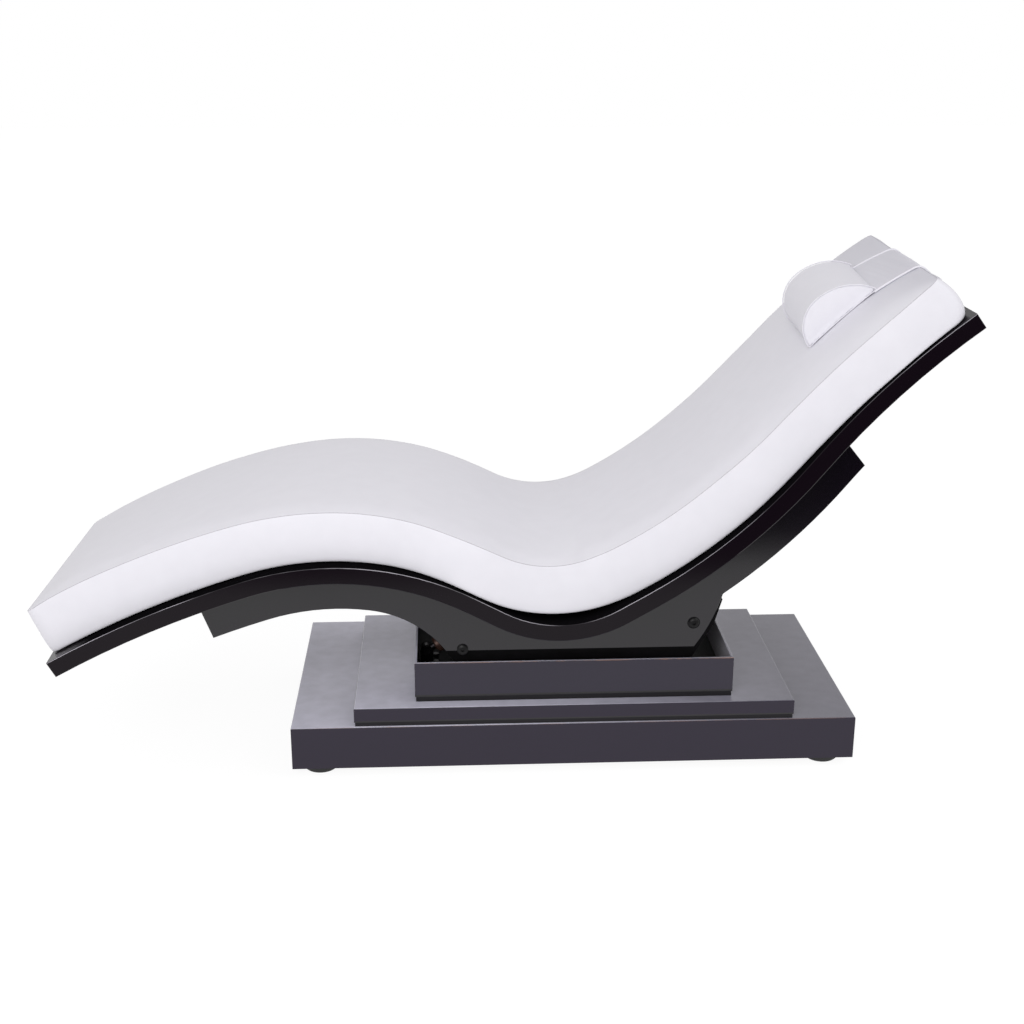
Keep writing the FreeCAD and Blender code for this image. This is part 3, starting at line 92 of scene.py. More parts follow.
class Route:
    """A run of tangent lines and arcs in the X-Z plane, measured along its length."""

    def __init__(self, x: float, z: float, slope: float, bends: Sequence[Bend]) -> None:
        """Lay the bends end to end.

        Args:
            x: Where the route starts along X.
            z: Where it starts along Z.
            slope: Its slope there, in radians.
            bends: Its stretches in order.
        """
        rows = []
        start = 0.0
        for bend in bends:
            turn = math.radians(bend.turn)
            rows.append((start, bend.length, turn, slope, x, z))
            if turn:
                radius = bend.length / turn
                x += radius * (math.sin(slope + turn) - math.sin(slope))
                z -= radius * (math.cos(slope + turn) - math.cos(slope))
            else:
                x += bend.length * math.cos(slope)
                z += bend.length * math.sin(slope)
            start += bend.length
            slope += turn
        self.rows = np.array(rows, float)
        self.length = start

    def locate(self, reach: np.ndarray, rise: np.ndarray) -> tuple[np.ndarray, np.ndarray, np.ndarray]:
        """Find points at distances along the route, raised square to it.

        Args:
            reach: The distances along the route.
            rise: The heights over it.

        Returns:
            The points' X and Z, and the route's slope under them.
        """
        which = np.clip(np.searchsorted(self.rows[:, 0], reach, side="right") - 1, 0, len(self.rows) - 1)
        start, length, turn, slope, x, z = self.rows[which].T
        run = reach - start
        angle = slope + turn * run / length
        bent = np.abs(turn) > 1e-9
        radius = np.where(bent, length / np.where(bent, turn, 1.0), 0.0)
        px = x + np.where(bent, radius * (np.sin(angle) - np.sin(slope)), run * np.cos(slope))
        pz = z - np.where(bent, radius * (np.cos(angle) - np.cos(slope)), -run * np.sin(slope))
        return px - rise * np.sin(angle), pz + rise * np.cos(angle), angle

    def wrap(self, flat: np.ndarray) -> np.ndarray:
        """Bend points laid out flat round the route.

        Args:
            flat: Points as distance along, distance across and height over the route.

        Returns:
            The same points in the frame.
        """
        x, z, _ = self.locate(flat[:, 0], flat[:, 2])
        return np.column_stack([x, flat[:, 1], z])

    def spot(self, reach: float, rise: float) -> Vector:
        """Return one point at a distance along the route and a height over it."""
        x, z, _ = self.locate(np.array([reach]), np.array([rise]))
        return Vector((float(x[0]), 0.0, float(z[0])))


@dataclass(frozen=True)
class DeckLine:
    """The bent deck's top line, from its foot end to its head end, in metres and degrees."""

    foot_x: float = -0.95669
    foot_height: float = 0.3166
    foot_slope: float = 28.7
    foot: Bend = Bend(0.460, -11.8)
    knee: Bend = Bend(0.5041, -45.1)
    seat_front: Bend = Bend(0.070, 0.0)
    seat: Bend = Bend(0.2547, 58.1)
    seat_back: Bend = Bend(0.070, 0.0)
    back: Bend = Bend(0.4455, 21.8)
    head: Bend = Bend(0.4405, -14.9)
    mattress_lift: float = 0.0024
    mattress_relief: float = 0.096

    def deck(self) -> Route:
        """Return the route along the deck's top."""
        bends = [self.foot, self.knee, self.seat_front, self.seat, self.seat_back, self.back, self.head]
        return Route(self.foot_x, self.foot_height, math.radians(self.foot_slope), bends)

    def mattress(self) -> Route:
        """Return the route along the mattress's base, which bends more widely over the seat."""
        lift = self.mattress_lift
        turn = math.radians(self.seat.turn)
        radius = self.seat.length / turn - lift
        shift = self.mattress_relief * math.tan(turn / 2)

        def raised(bend: Bend) -> Bend:
            """Return a bend as it is at the mattress's height."""
            return Bend(bend.length - lift * math.radians(bend.turn), bend.turn)

        bends = [
            raised(self.foot),
            raised(self.knee),
            Bend(self.seat_front.length - shift, 0.0),
            Bend((radius + self.mattress_relief) * turn, self.seat.turn),
            Bend(self.seat_back.length - shift, 0.0),
            raised(self.back),
            raised(self.head),
        ]
        start = self.deck().spot(0.0, lift)
        return Route(start.x, start.z, math.radians(self.foot_slope), bends)


# Work at the bench


class Bench:
    """Shapes one mesh object in edit mode, selecting its parts by place or normal."""

    def __init__(self, piece: bpy.types.Object) -> None:
        """Take a mesh object to the bench."""
        self.piece = piece

    def __enter__(self) -> "Bench":
        """Open the object in edit mode with nothing selected.

        Returns:
            The bench.
        """
        only(self.piece)
        bpy.ops.object.mode_set(mode="EDIT")
        bpy.ops.mesh.select_all(action="DESELECT")
        return self

    def __exit__(self, *_: object) -> None:
        """Leave edit mode."""
        bpy.ops.object.mode_set(mode="OBJECT")

    def pick(self, kind: str, test: Callable[[bmesh.types.BMFace | bmesh.types.BMEdge], bool]) -> None:
        """Select the faces or the edges that pass a test.

        Args:
            kind: FACE or EDGE, as Blender calls them.
            test: Says of one face or edge whether it is wanted.
        """
        bpy.ops.mesh.select_mode(type=kind)
        bpy.ops.mesh.select_all(action="DESELECT")
        shape = bmesh.from_edit_mesh(self.piece.data)
        for part in shape.faces if kind == "FACE" else shape.edges:
            part.select_set(test(part))
        bmesh.update_edit_mesh(self.piece.data)

    def pick_faces(self, test: Callable[[Vector, Vector], bool]) -> None:
        """Select the faces whose middle and normal pass a test."""
        self.pick("FACE", lambda face: test(face.calc_center_median(), face.normal))

    def pick_edges(self, test: Callable[[Vector, Vector], bool]) -> None:
        """Select the edges whose two ends pass a test."""
        self.pick("EDGE", lambda edge: test(edge.verts[0].co, edge.verts[1].co))


def clear_selection() -> None:
    """Deselect every object."""
    for other in bpy.context.selected_objects:
        other.select_set(False)


def only(piece: bpy.types.Object) -> None:
    """Make one object the only selected one and the active one.

    Args:
        piece: The object.
    """
    clear_selection()
    piece.select_set(True)
    bpy.context.view_layer.objects.active = piece


def vectors_of(mesh: bpy.types.Mesh, kind: str) -> np.ndarray:
    """Read one vector for each of a mesh's points.

    Args:
        mesh: The mesh.
        kind: The vector's name: co for the point's place, normal for the normal there.

    Returns:
        The vectors as rows of X, Y and Z.
    """
    vectors = np.empty(len(mesh.vertices) * 3, np.float32)
    mesh.vertices.foreach_get(kind, vectors)
    return vectors.reshape(-1, 3).astype(float)


def points_of(piece: bpy.types.Object) -> np.ndarray:
    """Return a mesh object's points as rows of X, Y and Z."""
    return vectors_of(piece.data, "co")


def normals_of(piece: bpy.types.Object) -> np.ndarray:
    """Return the normals at a mesh object's points."""
    return vectors_of(piece.data, "normal")


def move_points(piece: bpy.types.Object, points: np.ndarray) -> None:
    """Put a mesh object's points at new places."""
    piece.data.vertices.foreach_set("co", points.astype(np.float32).ravel())
    piece.data.update()


def settle(piece: bpy.types.Object, name: str) -> bpy.types.Object:
    """Name a piece and move its place into its mesh, so that its object sits at the origin.

    Args:
        piece: The piece.
        name: Its name, and its mesh's.

    Returns:
        The same piece.
    """
    piece.data.transform(piece.matrix_basis)
    piece.matrix_basis = Matrix.Identity(4)
    piece.name = name
    piece.data.name = name
    return piece


def apply(piece: bpy.types.Object, modifier: bpy.types.Modifier) -> None:
    """Apply a modifier to its piece."""
    only(piece)
    bpy.ops.object.modifier_apply(modifier=modifier.name)


def rounded(piece: bpy.types.Object) -> None:
    """Round a piece off with one applied level of subdivision.

    Args:
        piece: The piece.
    """
    modifier = piece.modifiers.new("Rounding", "SUBSURF")
    modifier.levels = 1
    modifier.render_levels = 1
    apply(piece, modifier)


def faces_outwards(piece: bpy.types.Object) -> None:
    """Merge a closed piece's doubles and turn its faces outwards.

    Args:
        piece: The piece.
    """
    with Bench(piece):
        bpy.ops.mesh.select_all(action="SELECT")
        bpy.ops.mesh.remove_doubles(threshold=SAME_POINT)
        bpy.ops.mesh.normals_make_consistent(inside=False)


def smooth(piece: bpy.types.Object, degrees: float = 60.0) -> None:
    """Shade a piece smooth across its shallow angles."""
    only(piece)
    bpy.ops.object.shade_smooth_by_angle(angle=math.radians(degrees))


def dress(piece: bpy.types.Object, material: bpy.types.Material) -> None:
    """Dress a piece.

    Args:
        piece: The piece.
        material: Its material.
    """
    piece.data.materials.clear()
    piece.data.materials.append(material)


def flat_pad(name: str, long: int, wide: int, heights: Sequence[float]) -> bpy.types.Object:
    """Make a flat closed pad of unit length and half-width, ready to be wrapped.

    Args:
        name: The piece's name.
        long: The number of cells along it.
        wide: The number of cells across it.
        heights: The heights in shares at which its sides are cut into rows.

    Returns:
        The pad, from 0 to 1 along X, -1 to 1 along Y and 0 to 1 along Z.
    """
    clear_selection()
    bpy.ops.mesh.primitive_grid_add(
        x_subdivisions=long, y_subdivisions=wide, size=1.0, location=(0.5, 0.0, 0.0)
    )
    pad = settle(bpy.context.object, name)
    with Bench(pad):
        bpy.ops.mesh.select_all(action="SELECT")
        bpy.ops.transform.resize(value=(1.0, 2.0, 1.0), center_override=ORIGIN)
        bpy.ops.mesh.extrude_region_move(TRANSFORM_OT_translate={"value": (0.0, 0.0, 1.0)})
        for height in heights:
            bpy.ops.mesh.select_all(action="SELECT")
            bpy.ops.mesh.bisect(plane_co=(0.0, 0.0, height), plane_no=(0.0, 0.0, 1.0))
        bpy.ops.mesh.select_all(action="SELECT")
        bpy.ops.mesh.normals_make_consistent(inside=False)
    return pad


def tube(
    name: str, points: Iterable[Sequence[float]], radius: float, closed: bool, roundness: int = 3
) -> bpy.types.Object:
    """Make a thin round tube along a smooth line.

    Args:
        name: The piece's name.
        points: The points that the line is drawn with.
        radius: The tube's radius.
        closed: Whether the line comes back to its start.
        roundness: The number of points between two quarters of the tube's round.

    Returns:
        The tube as a mesh.
    """
    route = [tuple(map(float, point)) for point in points]
    curve = bpy.data.curves.new(name, "CURVE")
    curve.dimensions = "3D"
    curve.bevel_depth = radius
    curve.bevel_resolution = roundness
    curve.use_fill_caps = not closed
    curve.resolution_u = 2
    spline = curve.splines.new("NURBS")
    spline.points.add(len(route) - 1)
    for knot, point in zip(spline.points, route):
        knot.co = (*point, 1.0)
    spline.order_u = 3
    spline.use_cyclic_u = closed
    spline.use_endpoint_u = not closed
    drawn = bpy.data.objects.new(name, curve)
    bpy.context.scene.collection.objects.link(drawn)
    only(drawn)
    bpy.ops.object.convert(target="MESH")
    made = settle(bpy.context.object, name)
    faces_outwards(made)
    smooth(made, 70.0)
    return made


def evenly(points: np.ndarray, step: float, closed: bool) -> tuple[np.ndarray, np.ndarray]:
    """Space points evenly along a line.

    Args:
        points: The line's points.
        step: The wanted spacing.
        closed: Whether the line comes back to its start.

    Returns:
        The spaced points, and each one's distance in units of the old points.
    """
    line = np.vstack([points, points[:1]]) if closed else points
    runs = np.concatenate([[0.0], np.cumsum(np.linalg.norm(np.diff(line, axis=0), axis=1))])
    count = max(int(round(runs[-1] / step)), 3)
    wanted = np.linspace(0.0, runs[-1], count + (0 if closed else 1), endpoint=not closed)
    index = np.interp(wanted, runs, np.arange(len(line)))
    spaced = np.column_stack([np.interp(wanted, runs, line[:, axis]) for axis in range(3)])
    return spaced, index


@dataclass(frozen=True)
class Stuffing:
    """How a padded piece fills out.

    Attributes:
        pressure: The pressure from inside.
        travel: The furthest that a point moves, in metres.
        stiffness: How hard the cover is to stretch.
        bending: How hard it is to bend.
        mass: The mass of each of its points, in kilograms.
        quality: The number of rounds for each step.
        steps: The number of steps that the cloth settles for.
    """

    pressure: float
    travel: float
    stiffness: float
    bending: float = 0.5
    mass: float = 0.3
    quality: int = 5
    steps: int = 20
    quick_share: float = 0.6

    def fill(self, piece: bpy.types.Object, held: np.ndarray) -> None:
        """Fill a piece out as cloth under pressure, and keep its points near their places.

        Args:
            piece: The closed mesh.
            held: How firmly each point is held, from 0 to 1.
        """
        before = points_of(piece)
        group = piece.vertex_groups.new(name="Held")
        for index in np.flatnonzero(held > 0.001):
            group.add([int(index)], float(held[index]), "REPLACE")
        cloth = piece.modifiers.new("Cover", "CLOTH")
        settings = cloth.settings
        settings.quality = self.quality
        settings.mass = self.mass
        settings.tension_stiffness = self.stiffness
        settings.compression_stiffness = self.stiffness
        settings.shear_stiffness = self.stiffness / 2
        settings.bending_stiffness = self.bending
        settings.use_pressure = True
        settings.uniform_pressure_force = self.pressure
        settings.effector_weights.gravity = 0.0
        settings.vertex_group_mass = group.name
        cloth.point_cache.frame_start = 1
        cloth.point_cache.frame_end = self.steps
        scene = bpy.context.scene
        for step in range(1, self.steps + 1):
            scene.frame_set(step)
        settled = piece.evaluated_get(bpy.context.evaluated_depsgraph_get())
        moved = vectors_of(settled.data, "co") - before
        piece.modifiers.remove(cloth)
        scene.frame_set(1)
        length = np.linalg.norm(moved, axis=1)
        kept = self.travel * np.tanh(length / self.travel)
        moved *= (kept / np.maximum(length, 1e-9))[:, None]
        move_points(piece, before + moved)
        log.info("%s filled out by %.1f mm at most", piece.name, kept.max() * 1000)


# Shader maths

# The matt black cloth of painted shade on the deck's top: its threads a metre, and its darkest and lightest
# colour
CLOTH_THREADS = 900.0
SHADE_CLOTH_COLOURS = ((0.002, 0.0018, 0.0022), (0.006, 0.0055, 0.0065))


class Signal:
    """A value socket that can be used in sums."""

    def __init__(self, paint: "Paint", socket: bpy.types.NodeSocket) -> None:
        """Hold a socket of a material that is being mixed."""
        self.paint = paint
        self.socket = socket

    def _result(self, operation: str, first: object, second: object = 0.0) -> "Signal":
        """Add one Math node and return its result."""
        node = self.paint.node("ShaderNodeMath", {"operation": operation}, {0: first, 1: second})
        return Signal(self.paint, node.outputs[0])

    def __add__(self, other: object) -> "Signal":
        """Return self + other."""
        return self._result("ADD", self, other)

    def __radd__(self, other: object) -> "Signal":
        """Return other + self."""
        return self._result("ADD", other, self)

    def __sub__(self, other: object) -> "Signal":
        """Return self - other."""
        return self._result("SUBTRACT", self, other)

    def __rsub__(self, other: object) -> "Signal":
        """Return other - self."""
        return self._result("SUBTRACT", other, self)

    def __mul__(self, other: object) -> "Signal":
        """Return self * other."""
        return self._result("MULTIPLY", self, other)

    def __rmul__(self, other: object) -> "Signal":
        """Return other * self."""
        return self._result("MULTIPLY", other, self)

    def __abs__(self) -> "Signal":
        """Return the size of self."""
        return self._result("ABSOLUTE", self)

    def most(self, other: object) -> "Signal":
        """Return the larger of self and other."""
        return self._result("MAXIMUM", self, other)

    def least(self, other: object) -> "Signal":
        """Return the smaller of self and other."""
        return self._result("MINIMUM", self, other)

    def ramp(self, low: float, high: float) -> "Signal":
        """Step smoothly from 0 to 1.

        Args:
            low: The value below which the result is 0.
            high: The value above which it is 1.

        Returns:
            The step.
        """
        settings = {"interpolation_type": "SMOOTHSTEP"}
        node = self.paint.node("ShaderNodeMapRange", settings, {0: self, 1: low, 2: high, 3: 0.0, 4: 1.0})
        return Signal(self.paint, node.outputs[0])


class Paint:
    """Mixes one procedural material, or the studio's sky."""

    def __init__(self, owner: bpy.types.Material | bpy.types.World) -> None:
        """Empty the nodes of a material or a world.

        Args:
            owner: The material or the world.
        """
        owner.use_nodes = True
        self.owner = owner
        self.tree = owner.node_tree
        self.tree.nodes.clear()

    @classmethod
    def named(cls, name: str) -> "Paint":
        """Start an empty material of that name."""
        return cls(bpy.data.materials.new(name))

    @cached_property
    def place(self) -> bpy.types.NodeSocket:
        """Return the place on the piece."""
        return self.node("ShaderNodeTexCoord", {}, {}).outputs["Object"]

    def node(self, kind: str, settings: dict[str, object], values: dict[object, object]) -> bpy.types.Node:
        """Add a node.

        Args:
            kind: The node's type.
            settings: Its own settings, such as a Math node's operation.
            values: Values or links for its sockets, by number or name.

        Returns:
            The node.
        """
        node = self.tree.nodes.new(kind)
        for key, value in settings.items():
            setattr(node, key, value)
        for key, value in values.items():
            socket = node.inputs[key]
            source = value.socket if isinstance(value, Signal) else value
            if isinstance(source, bpy.types.NodeSocket):
                self.tree.links.new(source, socket)
            elif isinstance(source, tuple) and len(source) == 3 and socket.type == "RGBA":
                socket.default_value = (*source, 1.0)
            else:
                socket.default_value = source
        return node

    def stretched(self, scale: Sequence[float]) -> bpy.types.NodeSocket:
        """Return the piece's place, scaled along X, Y and Z."""
        return self.node("ShaderNodeMapping", {}, {"Vector": self.place, "Scale": tuple(scale)}).outputs[0]

    def noise(self, scale: float, detail: float = 2.0, rough: float = 0.5, at: object = None) -> Signal:
        """Return cloudy noise from 0 to 1, with a number of patches a metre."""
        values = {"Vector": at or self.place, "Scale": scale, "Detail": detail, "Roughness": rough}
        return Signal(self, self.node("ShaderNodeTexNoise", {}, values).outputs[0])

    def cells(self, scale: float, at: object = None) -> Signal:
        """Return the distance to the nearest grain, with a number of grains a metre."""
        values = {"Vector": at or self.place, "Scale": scale}
        return Signal(self, self.node("ShaderNodeTexVoronoi", {}, values).outputs[0])

    def axis(self, letter: str, vector: object = None) -> Signal:
        """Return the piece's place, or another vector, along X, Y or Z."""
        return Signal(self, self.node("ShaderNodeSeparateXYZ", {}, {0: vector or self.place}).outputs[letter])

    def facing(self, letter: str) -> Signal:
        """Return how far the surface faces along X, Y or Z, from -1 to 1."""
        return self.axis(letter, self.node("ShaderNodeTexCoord", {}, {}).outputs["Normal"])

    def seen(self) -> tuple[Signal, Signal]:
        """Return where a ray comes from the camera, a mirror or glass, and where it comes from a mirror."""
        rays = self.node("ShaderNodeLightPath", {}, {}).outputs
        camera, glossy, through = (
            Signal(self, rays[f"Is {kind} Ray"]) for kind in ("Camera", "Glossy", "Transmission")
        )
        return camera.most(glossy).most(through), glossy

    def blend(self, share: object, first: object, second: object) -> bpy.types.NodeSocket:
        """Return a colour between two colours."""
        settings = {"data_type": "RGBA", "clamp_factor": True}
        return self.node("ShaderNodeMix", settings, {0: share, 6: first, 7: second}).outputs[2]

    def bumps(self, height: object, depth: float) -> bpy.types.NodeSocket:
        """Return a normal for a relief of a depth in metres."""
        values = {"Height": height, "Distance": depth, "Strength": 1.0}
        return self.node("ShaderNodeBump", {}, values).outputs[0]

    def coated(self, share: object, under: bpy.types.Node, over: bpy.types.Node) -> bpy.types.Node:
        """Return a shader between two shaders."""
        return self.node("ShaderNodeMixShader", {}, {0: share, 1: under.outputs[0], 2: over.outputs[0]})

    def surface(self, cloth: Signal | None = None, **values: object) -> bpy.types.Material:
        """Finish the material with one principled surface.

        Args:
            cloth: Where a matt black cloth of painted shade covers it, if anywhere.
            values: Values or links for its sockets, with their names written with low lines.

        Returns:
            The material.
        """
        named = {key.replace("_", " "): value for key, value in values.items()}
        shader = self.node("ShaderNodeBsdfPrincipled", {}, named)
        if cloth:
            weave = self.blend(self.cells(CLOTH_THREADS), *SHADE_CLOTH_COLOURS)
            shader = self.coated(cloth, shader, self.node("ShaderNodeBsdfDiffuse", {}, {"Color": weave}))
        self.node("ShaderNodeOutputMaterial", {}, {"Surface": shader.outputs[0]})
        return self.owner


# Finishes


@dataclass(frozen=True)
class Leatherette:
    """White coated fabric with a fine grain and faint pull marks.

    Its top has painted shade: it turns greyer where it faces up towards the head end, between two places
    along X.
    """

    name: str = "white_leatherette"
    light: Colour = (0.80, 0.79, 0.84)
    deep: Colour = (0.778, 0.768, 0.818)
    shaded: Colour = (0.60, 0.59, 0.65)
    shade_run: tuple[float, float] = (0.66, 0.92)
    grain: float = 900.0
    grain_depth: float = 0.00009
    pull_depth: float = 0.0006
    gloss: float = 0.46

    def mix(self) -> bpy.types.Material:
        """Return the material."""
        paint = Paint.named(self.name)
        grain = paint.cells(self.grain) * 0.6 + paint.noise(self.grain * 2.2, 1.0) * 0.4
        pulls = paint.noise(4.5, 3.0, 0.55, paint.stretched((1.0, 0.55, 1.0)))
        mottle = paint.noise(26.0, 3.0)
        tone = (mottle * 0.6 + pulls * 0.4).ramp(0.3, 0.72)
        relief = grain * (self.grain_depth / self.pull_depth) + pulls
        rough = self.gloss + (grain - 0.4) * 0.12 + (mottle - 0.5) * 0.08
        # Painted shade: the up-facing top turns towards the shaded colour between two places along X.
        flat = (paint.facing("Z") + paint.facing("Y") * 0.35).ramp(0.62, 0.86)
        shade_and_wear = flat * paint.axis("X").ramp(*self.shade_run) * 0.9
        return paint.surface(
            Base_Color=paint.blend(shade_and_wear, paint.blend(tone, self.deep, self.light), self.shaded),
            Roughness=rough,
            IOR=1.45,
            Normal=paint.bumps(relief, self.pull_depth),
        )


@dataclass(frozen=True)
class Thread:
    """Twisted sewing thread; also the dark line of painted shade sunk in the crease between two panels."""

    name: str = "seam_thread"
    light: Colour = (0.58, 0.565, 0.60)
    dark: Colour = (0.38, 0.37, 0.40)

    def mix(self) -> bpy.types.Material:
        """Return the material."""
        paint = Paint.named(self.name)
        twist = paint.noise(900.0, 2.0)
        return paint.surface(
            Base_Color=paint.blend(twist, self.dark, self.light),
            Roughness=0.62 + twist * 0.2,
            Normal=paint.bumps(twist, 0.0001),
        )


@dataclass(frozen=True)
class Lacquer:
    """Dark lacquer, rubbed thin along stated edges so that a copper tint shows.

    Attributes:
        name: The material's name.
        body: The colour of the lacquer.
        bloom: The colour of the painted sheen on surfaces that face up, a painted reflection of the pale
            studio.
        gloss: The roughness.
        level: How strongly it reflects, where 0.5 is plain.
        edges: Long edges that are rubbed, each as its Y and Z.
        fade: How much weaker the painted sheen is at the head end than at the foot end.
        bands: Painted shadow bands on faces that face the near side, each as its Y, lowest Z and highest Z.
        inner_wall: Whether the inner face of the wall that faces the foot end gets painted light.
        rim: Where a fine painted highlight on the bevel begins round the black cloth of painted shade,
        as a distance from the middle plane, or 0 for none.
        speck: The colour of small flaws.
        rubbed: The copper tint of a rubbed edge.
        rub_width: How wide the rubbed line is, in metres.
        fade_run: The places along X between which the painted sheen grows weaker.
        band: The colour of a painted shadow band.
        band_depth: How far in from its face a band reaches, in metres.
        band_blur: How softly a band ends, in metres.
        wall: The colour of the painted light on that inner wall.
        wall_run: The places along X between which the painted light on an inner wall grows.
        bevel: The colour of the painted highlight on the bevel.
        bevel_blur: How softly the painted highlight on the bevel begins, in metres.
        cloth_run: How far from the middle the black cloth of painted shade begins to thin out, and where it
            ends.
    """

    name: str
    body: Colour
    bloom: Colour
    gloss: float = 0.2
    level: float = 0.42
    edges: tuple[tuple[float, float], ...] = ()
    fade: float = 0.0
    bands: tuple[tuple[float, float, float], ...] = ()
    inner_wall: bool = False
    rim: float = 0.0
    speck: Colour = (0.12, 0.115, 0.12)
    rubbed: Colour = (0.36, 0.19, 0.13)
    rub_width: float = 0.0022
    fade_run: tuple[float, float] = (-0.15, 0.75)
    band: Colour = (0.018, 0.017, 0.019)
    band_depth: tuple[float, float] = (0.0015, 0.002)
    band_blur: float = 0.0003
    wall: Colour = (0.62, 0.6, 0.66)
    wall_run: tuple[float, float] = (0.0, 0.1)
    bevel: Colour = (0.42, 0.4, 0.44)
    bevel_blur: float = 0.0002
    cloth_run: tuple[float, float] = (0.86, 0.93)

    def mix(self) -> bpy.types.Material:
        """Return the material."""
        paint = Paint.named(self.name)
        cloud = paint.noise(5.0, 3.0, 0.6)
        specks = (1.0 - paint.cells(260.0)).ramp(0.93, 0.99)
        # Painted sheen: surfaces that face up are lightened towards the bloom colour, a painted reflection,
        # weaker towards the head end.
        painted_sheen = paint.facing("Z").ramp(0.5, 0.95) * (0.78 + paint.noise(31.0, 4.0) * 0.3)
        painted_sheen = painted_sheen * (1.0 - paint.axis("X").ramp(*self.fade_run) * self.fade)
        colour = paint.blend(painted_sheen.least(1.0), self.body, self.bloom)
        colour = paint.blend(specks * 0.12, colour, self.speck)
        rough = self.gloss + (cloud - 0.5) * 0.09 + painted_sheen * 0.05 + specks * 0.15
        for y, z in self.edges:
            shade_and_wear = self.on_edge(paint, y, z)
            colour = paint.blend(shade_and_wear, colour, self.rubbed)
            rough = rough + shade_and_wear * 0.15
        # Painted shadow: dark bands at the foot of faces that face the near side.
        for y, low, high in self.bands:
            colour = paint.blend(self.in_band(paint, y, low, high), colour, self.band)
        # Painted light: the inner face of the wall that faces the foot end is lightened towards the wall
        # colour.
        if self.inner_wall:
            inner = (0.0 - paint.facing("X")).ramp(0.5, 0.7) * paint.axis("X").ramp(*self.wall_run)
            colour = paint.blend(inner, colour, self.wall)
        cloth = None
        if self.rim:
            # Painted highlight: a fine pale line on the up-facing bevel beyond the rim, in patches.
            beyond = abs(paint.axis("Y")).ramp(self.rim, self.rim + self.bevel_blur)
            pale = beyond * paint.facing("Z").ramp(0.45, 0.6) * paint.noise(5.0, 3.0).ramp(0.3, 0.62)
            colour = paint.blend(pale, colour, self.bevel)
            # Painted shade: matt black cloth on the deck's top inside the rim, thinning out towards the ends.
            within = (1.0 - beyond) * (1.0 - abs(paint.axis("X")).ramp(*self.cloth_run))
            cloth = paint.facing("Z").ramp(0.35, 0.5) * within
        return paint.surface(
            cloth,
            Base_Color=colour,
            Roughness=rough,
            Specular_IOR_Level=self.level,
            IOR=1.5,
            Normal=paint.bumps(paint.noise(210.0, 2.0), 0.00002),
        )

    def on_edge(self, paint: Paint, y: float, z: float) -> Signal:
        """Return where an edge along X at a Y and Z is rubbed thin, in patches."""
        away = abs(paint.axis("Y") - y) + abs(paint.axis("Z") - z)
        return (1.0 - away.ramp(0.0, self.rub_width)) * paint.noise(14.0, 4.0, 0.65).ramp(0.42, 0.60)

    def in_band(self, paint: Paint, y: float, low: float, high: float) -> Signal:
        """Return where a painted shadow band lies.

        Args:
            paint: The material that is being mixed.
            y: The Y of the face that it lies on.
            low: Its lowest Z.
            high: Its highest Z.

        Returns:
            1 inside the band and 0 outside.
        """
        height = paint.axis("Z")
        front = 1.0 - abs(paint.axis("Y") - y).ramp(*self.band_depth)
        inside = height.ramp(low, low + self.band_blur) * (1.0 - height.ramp(high - self.band_blur, high))
        return front * inside


@dataclass(frozen=True)
class Board:
    """Raw board inside the plinth, with a fine wood grain."""

    name: str
    light: Colour = (0.42, 0.31, 0.21)
    dark: Colour = (0.27, 0.18, 0.11)

    def mix(self) -> bpy.types.Material:
        """Return the material."""
        paint = Paint.named(self.name)
        fibre = paint.noise(60.0, 5.0, 0.6, paint.stretched((0.06, 1.0, 1.0)))
        chips = paint.cells(320.0)
        return paint.surface(
            Base_Color=paint.blend((fibre * 0.7 + chips * 0.3).ramp(0.25, 0.7), self.dark, self.light),
            Roughness=0.72 + fibre * 0.15,
            Normal=paint.bumps(fibre * 0.6 + chips * 0.4, 0.0002),
        )


@dataclass(frozen=True)
class Steel:
    """Plain or painted steel with fine brushing and small marks."""

    name: str
    colour: Colour
    marks: Colour
    metallic: float = 1.0
    gloss: float = 0.3
    level: float = 0.5
    brushing: float = 900.0

    def mix(self) -> bpy.types.Material:
        """Return the material."""
        paint = Paint.named(self.name)
        brushed = paint.noise(self.brushing, 2.0, 0.5, paint.stretched((1.0, 0.04, 1.0)))
        cloud = paint.noise(40.0, 3.0)
        return paint.surface(
            Base_Color=paint.blend((cloud * 0.6 + brushed * 0.4).ramp(0.35, 0.7), self.marks, self.colour),
            Metallic=self.metallic,
            Roughness=self.gloss + brushed * 0.14 + (cloud - 0.5) * 0.08,
            Specular_IOR_Level=self.level,
            Normal=paint.bumps(brushed, 0.00002),
        )


@dataclass(frozen=True)
class Moulded:
    """Moulded plastic or rubber with a fine spark texture."""

    name: str
    colour: Colour
    scuffed: Colour
    gloss: float = 0.5
    texture: float = 1400.0

    def mix(self) -> bpy.types.Material:
        """Return the material."""
        paint = Paint.named(self.name)
        spark = paint.noise(self.texture, 2.0)
        scuffs = paint.noise(45.0, 5.0, 0.7).ramp(0.56, 0.74)
        return paint.surface(
            Base_Color=paint.blend(scuffs * 0.5, self.colour, self.scuffed),
            Roughness=self.gloss + (spark - 0.5) * 0.16 + scuffs * 0.1,
            Normal=paint.bumps(spark, 0.00006),
        )


@dataclass(frozen=True)
class HookTape:
    """Black hook tape: a mat of tiny stiff loops in rows."""

    name: str = "hook_tape"

    def mix(self) -> bpy.types.Material:
        """Return the material."""
        paint = Paint.named(self.name)
        rows = paint.cells(700.0, paint.stretched((1.0, 1.4, 1.0)))
        return paint.surface(
            Base_Color=paint.blend(rows.ramp(0.1, 0.6), (0.06, 0.06, 0.062), (0.012, 0.012, 0.013)),
            Roughness=0.85 + rows * 0.1,
            Normal=paint.bumps(1.0 - rows, 0.0006),
        )


# Soft pieces


